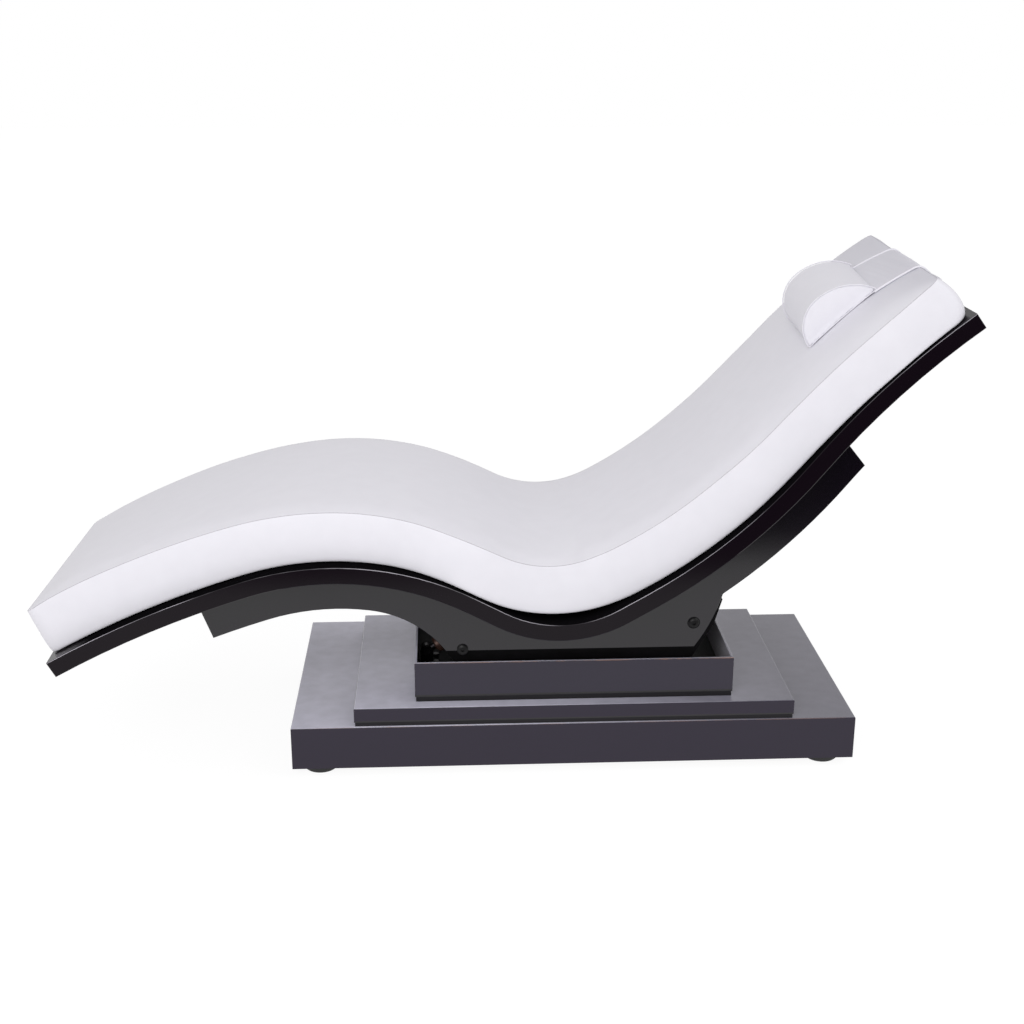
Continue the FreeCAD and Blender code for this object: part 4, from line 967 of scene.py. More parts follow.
@dataclass(frozen=True)
class Girth:
    """The mattress's side panels and crown at one place along the route.

    Attributes:
        reach: The distance along the route.
        near: The height of the near seam.
        far: The height of the far seam.
        dome: The share of the full crown.
        out: How far the near side stands out.
    """

    reach: float
    near: float
    far: float
    dome: float
    out: float = 0.0


GIRTHS = (
    Girth(0.00, 0.1040, 0.0930, 0.60),
    Girth(0.07, 0.1110, 0.0955, 0.60),
    Girth(0.15, 0.1125, 0.0985, 0.60),
    Girth(0.35, 0.1115, 0.1005, 0.60),
    Girth(0.53, 0.1090, 0.0955, 0.60),
    Girth(0.70, 0.1080, 0.0985, 0.60),
    Girth(0.80, 0.1045, 0.0990, 0.60),
    Girth(0.88, 0.1003, 0.0970, 0.60, 0.010),
    Girth(0.95, 0.1021, 0.0970, 0.60, 0.020),
    Girth(1.10, 0.1065, 0.1030, 0.60, 0.006),
    Girth(1.28, 0.1139, 0.1090, 0.60, -0.008),
    Girth(1.45, 0.1107, 0.1072, 0.65, -0.005),
    Girth(1.62, 0.1087, 0.1053, 0.80, -0.004),
    Girth(1.75, 0.1005, 0.1003, 0.90, -0.006),
    Girth(1.87, 0.0975, 0.0913, 1.00, 0.004),
    Girth(2.05, 0.0970, 0.0905, 1.00, 0.012),
    Girth(2.13, 0.0962, 0.0905, 1.00, 0.008),
    Girth(2.19, 0.0990, 0.0875, 1.00, 0.006),
    Girth(2.24, 0.1028, 0.0825, 1.00, 0.004),
)


@dataclass
class Mattress:
    """The one-piece mattress: domed top, bowed ends, side panels and one seam round the top.

    It lies slightly turned on the deck, as in the photograph. Sizes are in metres.

    Attributes:
        route: The line of its base.
        width: Its width.
        thickness: Its usual thickness at the seam.
        foot_inset: How far its foot end stays inside the deck's, at the base.
        head_inset: The same for its head end.
        foot_top_inset: How much further in the foot end's seam lies.
        head_top_inset: The same for the head end.
        foot_bow: How far the foot end's face bows out.
        head_bow: The same for the head end.
        middle_inset: How far the side panels' middle stays inside half the width.
        seam_inset: The same for the seam.
        base_draw: The same for the base.
        crown_rise: How far the middle of the top rises over the seam.
        shoulder_width: The width of the rounding beside the seam.
        shoulder_rise: The height of that rounding.
        foot_run: The distance over which the crown falls towards the foot end.
        head_run: The same for the head end.
        seam_corner: The radius of the corners at the seam.
        base_corner: The radius of the corners at the base.
        turn: How far it lies turned, in radians.
        head_skew: How much more the head end is turned.
        skew_run: The distance over which that grows.
        flap_hold: The share of the head end's bow that is left under the flap.
        hold_width: How far from the middle the flap holds it flat.
        hold_fade: The distance over which the bow comes back beyond that.
        end_crowding: How much closer its cells stand towards its ends.
        side_crowding: How much closer they stand towards its sides.
        base_gap: How far the base's edge is drawn under.
        swell: How far the padding swells.
        girth_step: The step at which its girths are read.
        girth_blur: The distance over which they are evened out.
        blur_steps: The number of steps on each side that count for that.
    """

    route: Route
    width: float = 0.630
    thickness: float = 0.1015
    foot_inset: float = 0.006
    head_inset: float = 0.006
    foot_top_inset: float = 0.0075
    head_top_inset: float = 0.004
    foot_bow: float = 0.004
    head_bow: float = 0.0145
    middle_inset: float = 0.002
    seam_inset: float = 0.006
    base_draw: float = 0.0015
    crown_rise: float = 0.022
    shoulder_width: float = 0.060
    shoulder_rise: float = 0.0125
    foot_run: float = 0.10
    head_run: float = 0.17
    seam_corner: float = 0.012
    base_corner: float = 0.026
    turn: float = 0.011
    head_skew: float = 0.031
    skew_run: float = 0.3
    flap_hold: float = 0.45
    hold_width: float = 0.17
    hold_fade: float = 0.11
    end_crowding: float = 0.22
    side_crowding: float = 0.32
    base_gap: float = 0.002
    swell: float = 0.0028
    girth_step: float = 0.005
    girth_blur: float = 0.02
    blur_steps: int = 12
    cells_long: int = 156
    cells_wide: int = 44
    rows: tuple[float, ...] = (0.045, 0.1, 0.19, 0.31, 0.44, 0.57, 0.69, 0.8, 0.89, 0.95)
    seam_radius: float = 0.0006
    stitch_pitch: float = 0.0085
    stitch_length: float = 0.0046
    stitch_radius: float = 0.00055
    stitch_lift: float = 0.0002
    seam_loop: np.ndarray = field(default_factory=lambda: np.zeros(0, int))
    body: bpy.types.Object | None = None

    def half_width(self, up: np.ndarray) -> np.ndarray:
        """Find the half-width, which is widest in the middle of the side panels.

        Args:
            up: Heights in shares of the thickness.

        Returns:
            The half-width at each.
        """
        base = self.width / 2 - self.base_draw
        seam = self.width / 2 - self.seam_inset
        middle = self.width / 2 - self.middle_inset
        bow = 4 * (middle - (base + seam) / 2)
        return base + (seam - base) * up + bow * up * (1 - up)

    def girth(self, reach: np.ndarray, across: np.ndarray) -> tuple[np.ndarray, np.ndarray, np.ndarray]:
        """Read the table of girths, evened out along the route.

        Args:
            reach: Distances along the route.
            across: Distances from the middle line, negative on the near side.

        Returns:
            The seam's height, the share of the crown and the near side's shift at each place.
        """
        steps = np.arange(-0.1, self.route.length + 0.1, self.girth_step)
        beside = np.arange(-self.blur_steps, self.blur_steps + 1) * self.girth_step
        spread = np.exp(-0.5 * (beside / self.girth_blur) ** 2)
        columns = []
        for name in ("near", "far", "dome", "out"):
            table = np.interp(steps, [row.reach for row in GIRTHS], [getattr(row, name) for row in GIRTHS])
            padded = np.pad(table, self.blur_steps, mode="edge")
            even = np.convolve(padded, spread / spread.sum(), mode="valid")
            columns.append(np.interp(reach, steps, even))
        near, far, dome, out = columns
        share = np.clip(across / self.width + 0.5, 0, 1)
        return near + (far - near) * share, dome, out * (1 - share)

    def crown(self, across: np.ndarray) -> np.ndarray:
        """Find how far the full top rises over the seam.

        Args:
            across: Distances from the middle line.

        Returns:
            The rise at each.
        """
        seam = self.width / 2 - self.seam_inset
        inner = seam - self.shoulder_width
        in_shoulder = np.clip((seam - across) / self.shoulder_width, 0, 1)
        over = (self.crown_rise - self.shoulder_rise) * (1 - np.clip(across / inner, 0, 1) ** 2)
        return self.shoulder_rise * np.sin(in_shoulder * math.pi / 2) + over

    def domed(self, from_foot: np.ndarray, from_head: np.ndarray) -> np.ndarray:
        """Find the share of the crown that is left towards the ends.

        Args:
            from_foot: Distances from the foot end.
            from_head: Distances from the head end.

        Returns:
            The share at each place.
        """
        foot = np.sin(np.clip(from_foot / self.foot_run, 0, 1) * math.pi / 2)
        head = np.sin(np.clip(from_head / self.head_run, 0, 1) * math.pi / 2)
        return foot * head

    def top(self, reach: np.ndarray, across: np.ndarray) -> np.ndarray:
        """Find the filled top's height over the route.

        Args:
            reach: Distances along the route.
            across: Distances from the middle line.

        Returns:
            The height at each place.
        """
        face = self.route.length - self.head_inset - self.head_top_inset
        across = across + self.sideways(reach)
        plane, dome, _ = self.girth(reach, across)
        left = self.domed(reach, np.maximum(face - reach, 0))
        return plane + (self.crown(np.abs(across)) * dome + self.swell) * left

    def sideways(self, reach: np.ndarray) -> np.ndarray:
        """Return how far the turned mattress lies towards the near side at distances along it."""
        return (reach - self.route.length / 2) * self.turn

    def slant(self, reach: np.ndarray) -> np.ndarray:
        """Return how far points shift along the route for each metre across it."""
        late = np.clip(1 - (self.route.length - reach) / self.skew_run, 0, 1.2) ** 2
        return self.turn + self.head_skew * late

    @staticmethod
    def bowed(share: np.ndarray) -> np.ndarray:
        """Return the shares of an end's bow at heights in shares of the panel, fullest below the middle."""
        low = share**0.75
        return 4 * low * (1 - low)

    def foot_face(self, share: np.ndarray) -> np.ndarray:
        """Return how far along the route the foot end's face lies at heights in shares of the panel."""
        return self.foot_inset + self.foot_top_inset * share - self.foot_bow * self.bowed(share)

    def head_face(self, share: np.ndarray, across: np.ndarray) -> np.ndarray:
        """Find how far along the route the head end's face lies. The flap holds its middle flatter.

        Args:
            share: Heights in shares of the side panel's height.
            across: Distances from the middle line.

        Returns:
            The distance along the route at each place.
        """
        beside = np.clip((np.abs(across) - self.hold_width) / self.hold_fade, 0, 1)
        free = self.flap_hold + (1 - self.flap_hold) * beside
        bow = self.head_bow * self.bowed(share) * free
        return self.route.length - self.head_inset - self.head_top_inset * share + bow

    def form(self, unit: np.ndarray) -> np.ndarray:
        """Shape the flat unit pad into the mattress, still laid out straight.

        Args:
            unit: The pad's points, 0 to 1 along, -1 to 1 across and 0 to 1 up.

        Returns:
            Points as distance along, distance across and height over the route.
        """
        along, across, up = unit[:, 0] * 2 - 1, unit[:, 1], unit[:, 2]
        along = (along * (1 + self.end_crowding) - along**3 * self.end_crowding) / 2 + 0.5
        across = across * (1 + self.side_crowding) - across**3 * self.side_crowding
        half = self.half_width(up)
        y = across * half
        corner = self.base_corner + (self.seam_corner - self.base_corner) * np.clip(up * 2.5 - 1.5, 0, 1)
        past = np.clip(np.abs(y) - (half - corner), 0, corner)
        cut = corner - np.sqrt(np.maximum(corner**2 - past**2, 0))
        foot, head = self.foot_face(up) + cut, self.head_face(up, y) - cut
        reach = foot + (head - foot) * along
        plane, dome, out = self.girth(reach, y)
        over = self.crown(np.abs(y)) * dome * self.domed(reach - foot, head - reach)
        rise = up * plane + np.where(up > HIGH, over, 0.0)
        low = (up < LOW) & (np.abs(across) > HIGH)
        y = np.where(low, y * (1 - self.base_gap / half), y)
        turned = y - out - self.sideways(reach)
        return np.column_stack([reach + y * self.slant(reach), turned, rise])

    def make_body(self) -> bpy.types.Object:
        """Make the padded body and remember its seam.

        Returns:
            The body.
        """
        pad = flat_pad("mattress_cover", self.cells_long, self.cells_wide, self.rows)
        with Bench(pad) as bench:
            bench.pick_edges(lambda a, b: on_rim(a) and on_rim(b) and same_side(a, b))
            bpy.ops.transform.edge_crease(value=0.9)
        unit = points_of(pad)
        self.seam_loop = rim_order(unit)
        move_points(pad, self.route.wrap(self.form(unit)))
        held = np.clip(1.0 - unit[:, 2] * 3.0, 0.0, 1.0)
        held[self.seam_loop] = 0.96
        Stuffing(pressure=4.0, travel=self.swell, stiffness=25.0).fill(pad, held)
        rounded(pad)
        smooth(pad, 55.0)
        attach(pad, "seat")
        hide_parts("mattress")
        self.body = pad
        return pad

    def make_seam(self) -> list[bpy.types.Object]:
        """Make the dark line of painted shade sunk in the crease between the top and side panels, and the
        stitches beside it.

        Returns:
            The line and the stitches.
        """
        points = points_of(self.body)[self.seam_loop]
        normals = normals_of(self.body)[self.seam_loop]
        # Painted shade: a dark line sunk into the seam's crease, in the thread's colours.
        line = tube("mattress_seam_shade", points - normals * self.seam_radius * 0.5, self.seam_radius, True, 2)
        spaced, index = evenly(points, self.stitch_pitch, True)
        index = index % len(points)
        facing = np.column_stack([np.interp(index, range(len(points)), column) for column in normals.T])
        places = spaced + facing * self.stitch_lift
        stitches = stitch_ring("mattress_stitches", places, facing, self.stitch_length, self.stitch_radius)
        for piece in (line, stitches):
            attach(piece, "seat")
        return [line, stitches]


def on_rim(point: Vector) -> bool:
    """Return whether a point of the unit pad is on its top rim."""
    return point.z > HIGH and (abs(point.y) > HIGH or point.x < LOW or point.x > HIGH)


def same_side(first: Vector, second: Vector) -> bool:
    """Test whether an edge runs along the rim.

    Args:
        first: One end, on the rim.
        second: The other end, on the rim.

    Returns:
        Whether both lie on one side of it.
    """
    return (
        (abs(first.y) > HIGH and abs(first.y - second.y) < LOW)
        or (first.x < LOW and second.x < LOW)
        or (first.x > HIGH and second.x > HIGH)
    )


def rim_order(unit: np.ndarray) -> np.ndarray:
    """Find the unit pad's top rim.

    Args:
        unit: The pad's points.

    Returns:
        The indices of the rim's points in order: near side, head end, far side, foot end.
    """
    x, y, z = unit.T
    between = np.abs(y) < HIGH
    sides = ((y < -HIGH, x), ((x > HIGH) & between, y), (y > HIGH, -x), ((x < LOW) & between, -y))
    rim = []
    for on_side, order in sides:
        found = np.flatnonzero((z > HIGH) & on_side)
        rim.append(found[np.argsort(order[found])])
    return np.concatenate(rim)


def stitch_ring(
    name: str, places: np.ndarray, facing: np.ndarray, length: float, radius: float
) -> bpy.types.Object:
    """Make short stitches in a row that comes back to its start.

    Args:
        name: The piece's name.
        places: The stitches' middles in order.
        facing: The surface's normal at each.
        length: A stitch's length.
        radius: The thread's radius.

    Returns:
        The stitches as one mesh.
    """
    clear_selection()
    bpy.ops.mesh.primitive_uv_sphere_add(segments=6, ring_count=4, radius=1.0)
    model = settle(bpy.context.object, name)
    with Bench(model):
        bpy.ops.mesh.select_all(action="SELECT")
        bpy.ops.transform.resize(value=(radius, radius, length / 2), center_override=ORIGIN)
    shape = points_of(model)
    ahead = np.roll(places, -1, axis=0) - np.roll(places, 1, axis=0)
    ahead /= np.linalg.norm(ahead, axis=1)[:, None]
    side = np.cross(ahead, facing)
    side /= np.maximum(np.linalg.norm(side, axis=1), 1e-9)[:, None]
    points, faces = [], []
    for place, across, up, along in zip(places, side, np.cross(side, ahead), ahead):
        start = len(shape) * len(points)
        points.append(place + shape[:, :1] * across + shape[:, 1:2] * up + shape[:, 2:] * along)
        faces += [[start + index for index in face.vertices] for face in model.data.polygons]
    mesh = bpy.data.meshes.new(name)
    mesh.from_pydata(np.concatenate(points).tolist(), [], faces)
    model.data = mesh
    smooth(model, 180.0)
    return model


@dataclass
class Pillow:
    """The half-round neck pillow with piping round its two ends, in metres.

    Attributes:
        route: The line of the mattress's base.
        length: Its length across the mattress.
        line: The Y of its middle.
        base: The width of its flat base, along the mattress.
        height: How high its peak stands over the base.
        peak_run: How far its peak lies from the base's foot corner.
        head_distance: How far its base ends from the route's head end.
        crown: The height of its base over the route.
        sink: How far its head side sinks.
        far_reach: How much nearer to the head its far end lies.
        far_lift: How much higher its far end lies.
        piping_radius: The piping's radius.
        piping_inset: How far the piping's middle lies inside its ends.
        voxel: The size of its cells.
        shrink: How much smaller it starts before it swells.
        swell: How far the padding swells.
        rim_width: How far from its rims the cover is held.
        base_depth: How far from its base it is held.
    """

    route: Route
    length: float = 0.236
    line: float = -0.058
    base: float = 0.173
    height: float = 0.0715
    peak_run: float = 0.076
    head_distance: float = 0.108
    crown: float = 0.1193
    sink: float = 0.0033
    far_reach: float = 0.015
    far_lift: float = 0.004
    piping_radius: float = 0.0013
    piping_inset: float = 0.0008
    voxel: float = 0.005
    shrink: float = 0.0020
    swell: float = 0.0050
    rim_width: float = 0.009
    base_depth: float = 0.004

    def ends(self) -> tuple[float, float]:
        """Return where the base's foot corner and head corner lie along the route."""
        end = self.route.length - self.head_distance
        return end - self.base, end

    def seat(self) -> tuple[Vector, Vector, Vector, Vector]:
        """Return the base's foot corner and head corner, the way along it and the way up."""
        foot, head = (self.route.spot(reach, self.crown) for reach in self.ends())
        along = (head - foot).normalized()
        return foot, head, along, Vector((-along.z, 0.0, along.x))

    def outline(self) -> np.ndarray:
        """Draw the half-round end's outline.

        Returns:
            Its points in order, from the foot corner over the peak and back along the base.
        """
        foot, head, along, up = self.seat()
        peak = foot + along * self.peak_run + up * self.height
        rows = [*self.arc(foot, peak, up), *reversed(self.arc(head, peak, up)[:-1])]
        start, end = self.ends()
        reaches = np.linspace(end, start, 12)[1:-1]
        rows += [self.route.spot(float(reach), self.crown + 0.001) for reach in reaches]
        return np.array([tuple(row) for row in rows])

    @staticmethod
    def arc(corner: Vector, peak: Vector, up: Vector) -> list[Vector]:
        """Draw the arc from a corner that arrives at the peak square to the way up.

        Args:
            corner: Where it starts.
            peak: Where it ends.
            up: The way up.

        Returns:
            Points on it in order.
        """
        run = peak - corner
        radius = run.length_squared / (2 * run.dot(up))
        centre = peak - up * radius
        first, last = (corner - centre).normalized(), up
        turn = first.angle(last)
        return [
            centre + (first * math.sin((1 - t) * turn) + last * math.sin(t * turn)) / math.sin(turn) * radius
            for t in np.linspace(0, 1, 18)
        ]

    def make(self) -> list[bpy.types.Object]:
        """Make the pillow's cover and its two piped edges.

        Returns:
            The pieces.
        """
        cover = settle(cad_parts["pillow"].copy(), "pillow_cover")
        cover.data = cover.data.copy()
        cover.parent = None
        for key in list(cover.keys()):
            del cover[key]
        bpy.context.scene.collection.objects.link(cover)
        faces_outwards(cover)
        remesh = cover.modifiers.new("Cells", "REMESH")
        remesh.mode = "VOXEL"
        remesh.voxel_size = self.voxel
        apply(cover, remesh)
        points = points_of(cover)
        outline = self.outline()
        rim = np.linalg.norm(points[:, None, [0, 2]] - outline[None, :, [0, 2]], axis=2).min(axis=1)
        end = self.length / 2 - np.abs(points[:, 1] - self.line)
        at_rim = np.clip(1.35 - np.hypot(rim, end) / self.rim_width, 0, 1)
        foot, _, _, up = map(np.array, self.seat())
        on_base = (points - foot) @ up < self.base_depth
        points = points - normals_of(cover) * (self.shrink * (1 - at_rim))[:, None]
        move_points(cover, points)
        held = np.where(on_base, 1.0, at_rim * 0.97)
        Stuffing(pressure=5.0, travel=self.swell, stiffness=8.0).fill(cover, held)
        rounded(cover)
        move_points(cover, self.sunk(points_of(cover)))
        smooth(cover, 70.0)
        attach(cover, "neck_pillow")
        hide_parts("pillow")
        made = [cover]
        for side in Side:
            ring = outline.copy()
            ring[:, 1] = self.line + side.value * (self.length / 2 - self.piping_inset)
            name = f"pillow_piping_{side.name.lower()}"
            piping = tube(name, self.sunk(ring), self.piping_radius, True)
            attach(piping, "neck_pillow")
            made.append(piping)
        return made

    def sunk(self, points: np.ndarray) -> np.ndarray:
        """Let the head side sink with the mattress's falling top, and the far end lie nearer to the head.

        Args:
            points: The points of a piece of the pillow.

        Returns:
            Their new places.
        """
        foot, _, along, up = map(np.array, self.seat())
        share = np.clip((points - foot) @ along / self.base, 0, 1.1)
        far = np.clip((points[:, 1] - self.line) / self.length + 0.5, 0, 1)
        lift = far * self.far_lift - share * self.sink
        return points + np.outer(lift, up) + np.outer(far * self.far_reach, along)


@dataclass
class Flap:
    """The pillow's flap: over the mattress to its head edge, then down behind it to a weighted hem.

    Attributes:
        route: The line of the mattress's base.
        mattress: The mattress that it lies on.
        pillow: The pillow that it holds.
        thickness: Its thickness.
        fold_inset: How far from the route's head end it folds.
        drop: How far it hangs down behind the head end.
        lap: How far it starts under the pillow, and how far before the edge it begins to fold.
        top_gap: The gap between it and the mattress's top.
        face_gap: The gap between it and the head end's face.
        face_start: Where it comes down on the face, in shares of the mattress's thickness.
        pitch: The spacing of its line's points.
        piping_radius: The piping's radius.
        piping_lift: How far the piping's middle lies over the flap's.
        hem_radius: The hem's radius.
        puff: How far its padding stands up.
        bend_before: How far below the fold the bend's start is put; that point is not used.
        bend_after: How far beyond the fold the bend's end is put; that point is not used.
    """

    route: Route
    mattress: Mattress
    pillow: Pillow
    thickness: float = 0.0042
    fold_inset: float = 0.014
    drop: float = 0.044
    lap: float = 0.004
    top_gap: float = 0.0004
    face_gap: float = 0.0006
    face_start: float = 0.95
    pitch: float = 0.003
    piping_radius: float = 0.0026
    piping_lift: float = 0.0014
    hem_radius: float = 0.0062
    puff: float = 0.0010
    bend_before: float = 0.034
    bend_after: float = 0.050

    def path(self) -> np.ndarray:
        """Draw the flap's middle line.

        Returns:
            Points as distance along the route, nothing, and height over it.
        """
        half = self.thickness / 2
        line = np.array([self.pillow.line])
        first = self.pillow.ends()[1] - self.lap
        face = float(self.mattress.head_face(np.array([1.0]), line)[0])
        reach = np.linspace(first, face - self.lap, 20)
        rise = self.mattress.top(reach, line) + half + self.top_gap
        share = np.linspace(self.face_start, self.face_start - self.drop / self.mattress.thickness, 12)
        down = self.mattress.head_face(share, line) + half + self.face_gap
        edge = float(self.mattress.top(np.array([face]), line)[0])
        ahead, over = [*reach, *down], [*rise, *(share * edge)]
        spaced, _ = evenly(np.column_stack([ahead, np.zeros(len(ahead)), over]), self.pitch, False)
        for _ in range(3):
            spaced[1:-1] = (spaced[:-2] + 2 * spaced[1:-1] + spaced[2:]) / 4
        return spaced

    def wrap(self, path: np.ndarray, flat: np.ndarray) -> np.ndarray:
        """Lay flat points along the path, so that they follow the mattress's top and its slant.

        Args:
            path: The flap's line.
            flat: Points as share along, distance across and height over the line.

        Returns:
            The points in the frame.
        """
        index = flat[:, 0] * (len(path) - 1)
        steps = np.arange(len(path))
        slope = np.gradient(path[:, [0, 2]], axis=0)
        slope /= np.linalg.norm(slope, axis=1)[:, None]
        reach, rise, run, climb = (
            np.interp(index, steps, column) for column in (path[:, 0], path[:, 2], slope[:, 0], slope[:, 1])
        )
        middle = np.full(len(flat), self.pillow.line)
        beside = self.mattress.top(reach, flat[:, 1]) - self.mattress.top(reach, middle)
        out = np.column_stack([reach - climb * flat[:, 2], flat[:, 1], rise + run * flat[:, 2] + beside])
        out[:, 0] += flat[:, 1] * self.mattress.slant(reach)
        return self.route.wrap(out)

    def across_hinge(self, piece: bpy.types.Object) -> None:
        """Bake a piece's place into its mesh. Where a bend at the fold would start and end is worked out, but
        not used.

        Args:
            piece: The piece.
        """
        reach = self.route.length - self.fold_inset
        fold = self.route.spot(reach, self.pillow.crown)
        along = (fold - self.route.spot(reach - 0.02, self.pillow.crown)).normalized()
        down = Vector((along.z, 0.0, -along.x))
        line = Vector((0.0, self.pillow.line, 0.0))
        start = fold + down * self.bend_before + line
        end = fold - along * self.bend_after + line
        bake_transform(piece)

    def make(self) -> list[bpy.types.Object]:
        """Make the flap, its two piped edges and its hem.

        Returns:
            The pieces.
        """
        path = self.path()
        half = self.pillow.length / 2 - 0.001
        cover = flat_pad("flap_cover", 44, 26, (0.5,))
        along, across, up = points_of(cover).T
        pad = (1 - np.abs(across) ** 4) * self.puff * np.sin(np.clip(along * 1.3, 0, 1) * math.pi) ** 0.5
        sag = 0.0006 * np.sin(along * 37 + across * 3) * (1 - across**2)
        height = (up - 0.5) * self.thickness + np.where(up > 0.4, pad + sag, 0.0)
        edge = 1 - 0.45 * np.abs(across) ** 12
        flat = np.column_stack([along, self.pillow.line + across * half, height * edge])
        move_points(cover, self.wrap(path, flat))
        rounded(cover)
        smooth(cover, 60.0)
        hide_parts("pillow_flap", "pillow_counterweight")
        self.across_hinge(cover)
        made = [cover]
        for side in Side:
            flat = np.zeros((40, 3))
            flat[:, 0] = np.linspace(0, 1, len(flat))
            flat[:, 1] = self.pillow.line + side.value * self.pillow.length / 2
            flat[:, 2] = self.piping_lift
            name = f"flap_piping_{side.name.lower()}"
            piping = tube(name, self.wrap(path, flat), self.piping_radius, False)
            self.across_hinge(piping)
            made.append(piping)
        made.append(self.make_hem(path))
        return made

    def make_hem(self, path: np.ndarray) -> bpy.types.Object:
        """Make the round, weighted hem at the flap's lower end.

        Args:
            path: The flap's middle line.

        Returns:
            The hem.
        """
        end = self.route.spot(float(path[-1, 0]), float(path[-1, 2]) - self.hem_radius * 0.6)
        clear_selection()
        bpy.ops.mesh.primitive_cylinder_add(
            vertices=20,
            radius=self.hem_radius,
            depth=self.pillow.length - 0.004,
            location=(end.x, self.pillow.line, end.z),
            rotation=(math.pi / 2, 0.0, 0.0),
        )
        hem = settle(bpy.context.object, "flap_hem")
        half = self.pillow.length / 2 - 0.002
        with Bench(hem) as bench:
            bench.pick_faces(lambda _, normal: abs(normal.y) > 0.9)
            for share in (0.35, 0.3):
                bpy.ops.mesh.inset(thickness=self.hem_radius * share, use_individual=True)
        points = points_of(hem)
        radial = np.hypot(points[:, 0] - end.x, points[:, 2] - end.z) / self.hem_radius
        beside = points[:, 1] - self.pillow.line
        rounding = np.sign(beside) * radial**3 * 0.003
        points[:, 1] -= np.where(np.abs(beside) > half - 0.001, rounding, 0.0)
        move_points(hem, points)
        for share in (-0.8, -0.4, 0.0, 0.4, 0.8):
            with Bench(hem):
                cut = (0.0, self.pillow.line + share * half, 0.0)
                bpy.ops.mesh.select_all(action="SELECT")
                bpy.ops.mesh.bisect(plane_co=cut, plane_no=(0.0, 1.0, 0.0))
        rounded(hem)
        smooth(hem, 60.0)
        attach(hem, "seat")
        return hem


@dataclass
class HookStrips:
    """Strips of hook tape between the deck and the mattress, in metres.

    Attributes:
        deck: The line of the deck's top.
        width: A strip's width.
        line: How far its middle lies from the middle line.
        thickness: Its thickness.
        gap: The gap that is left above and under it.
        end_gap: How far it stays inside the ends of the CAD strip.
    """

    deck: Route
    width: float = 0.050
    line: float = 0.210
    thickness: float = 0.002
    gap: float = 0.0001
    end_gap: float = 0.001

    def make(self) -> list[bpy.types.Object]:
        """Make the strips under the legs and under the back.

        Returns:
            One piece for the legs and one for the back.
        """
        made = []
        for end in ("foot", "back"):
            node = f"hook_strips_{end}"
            low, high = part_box(node)
            parts = [self.strip(f"tape_{end}", side, low.x, high.x) for side in Side]
            clear_selection()
            for part in parts:
                part.select_set(True)
            bpy.context.view_layer.objects.active = parts[0]
            bpy.ops.object.join()
            tape = settle(bpy.context.object, f"hook_tape_{end}")
            smooth(tape, 40.0)
            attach(tape, "seat")
            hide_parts(node)
            made.append(tape)
        return made

    def strip(self, name: str, side: Side, low: float, high: float) -> bpy.types.Object:
        """Make one strip.

        Args:
            name: Its name.
            side: The side that it lies on.
            low: The lowest X of the CAD strip.
            high: Its highest X.

        Returns:
            The strip.
        """
        reaches = np.linspace(0, self.deck.length, 2000)
        x, _, _ = self.deck.locate(reaches, np.full(len(reaches), self.thickness / 2))
        first, last = np.interp([low + self.end_gap, high - self.end_gap], x, reaches)
        pad = flat_pad(name, 60, 4, ())
        along, across, up = points_of(pad).T
        reach = first + (last - first) * along
        y = side.value * self.line + across * self.width / 2
        rise = self.gap + (self.thickness - 2 * self.gap) * up
        move_points(pad, self.deck.wrap(np.column_stack([reach, y, rise])))
        return pad


# The frame's own parts


class Slot(Enum):
    """The record's material slots of the frame's rigid parts."""

    RUBBER = "rubber"
    PLINTH = "plinth_lacquer"
    CARCASS = "carcass_board"
    PACKING = "packing_black"
    TRAY = "tray_lacquer"
    TRAY_BED = "tray_black"
    CHEEK = "cheek_steel"
    BRIGHT = "bright_steel"
    CAP = "cap_steel"
    BOX = "box_plastic"
    RAIL = "rail_lacquer"
    DECK = "deck_lacquer"
    CROSS = "cross_wood"
    BUSH = "bush_plastic"
    TAPE = "hook_tape"
    COVER = "upholstery"
    DRIVE = "drive_plastic"
    TUBE = "drive_tube"


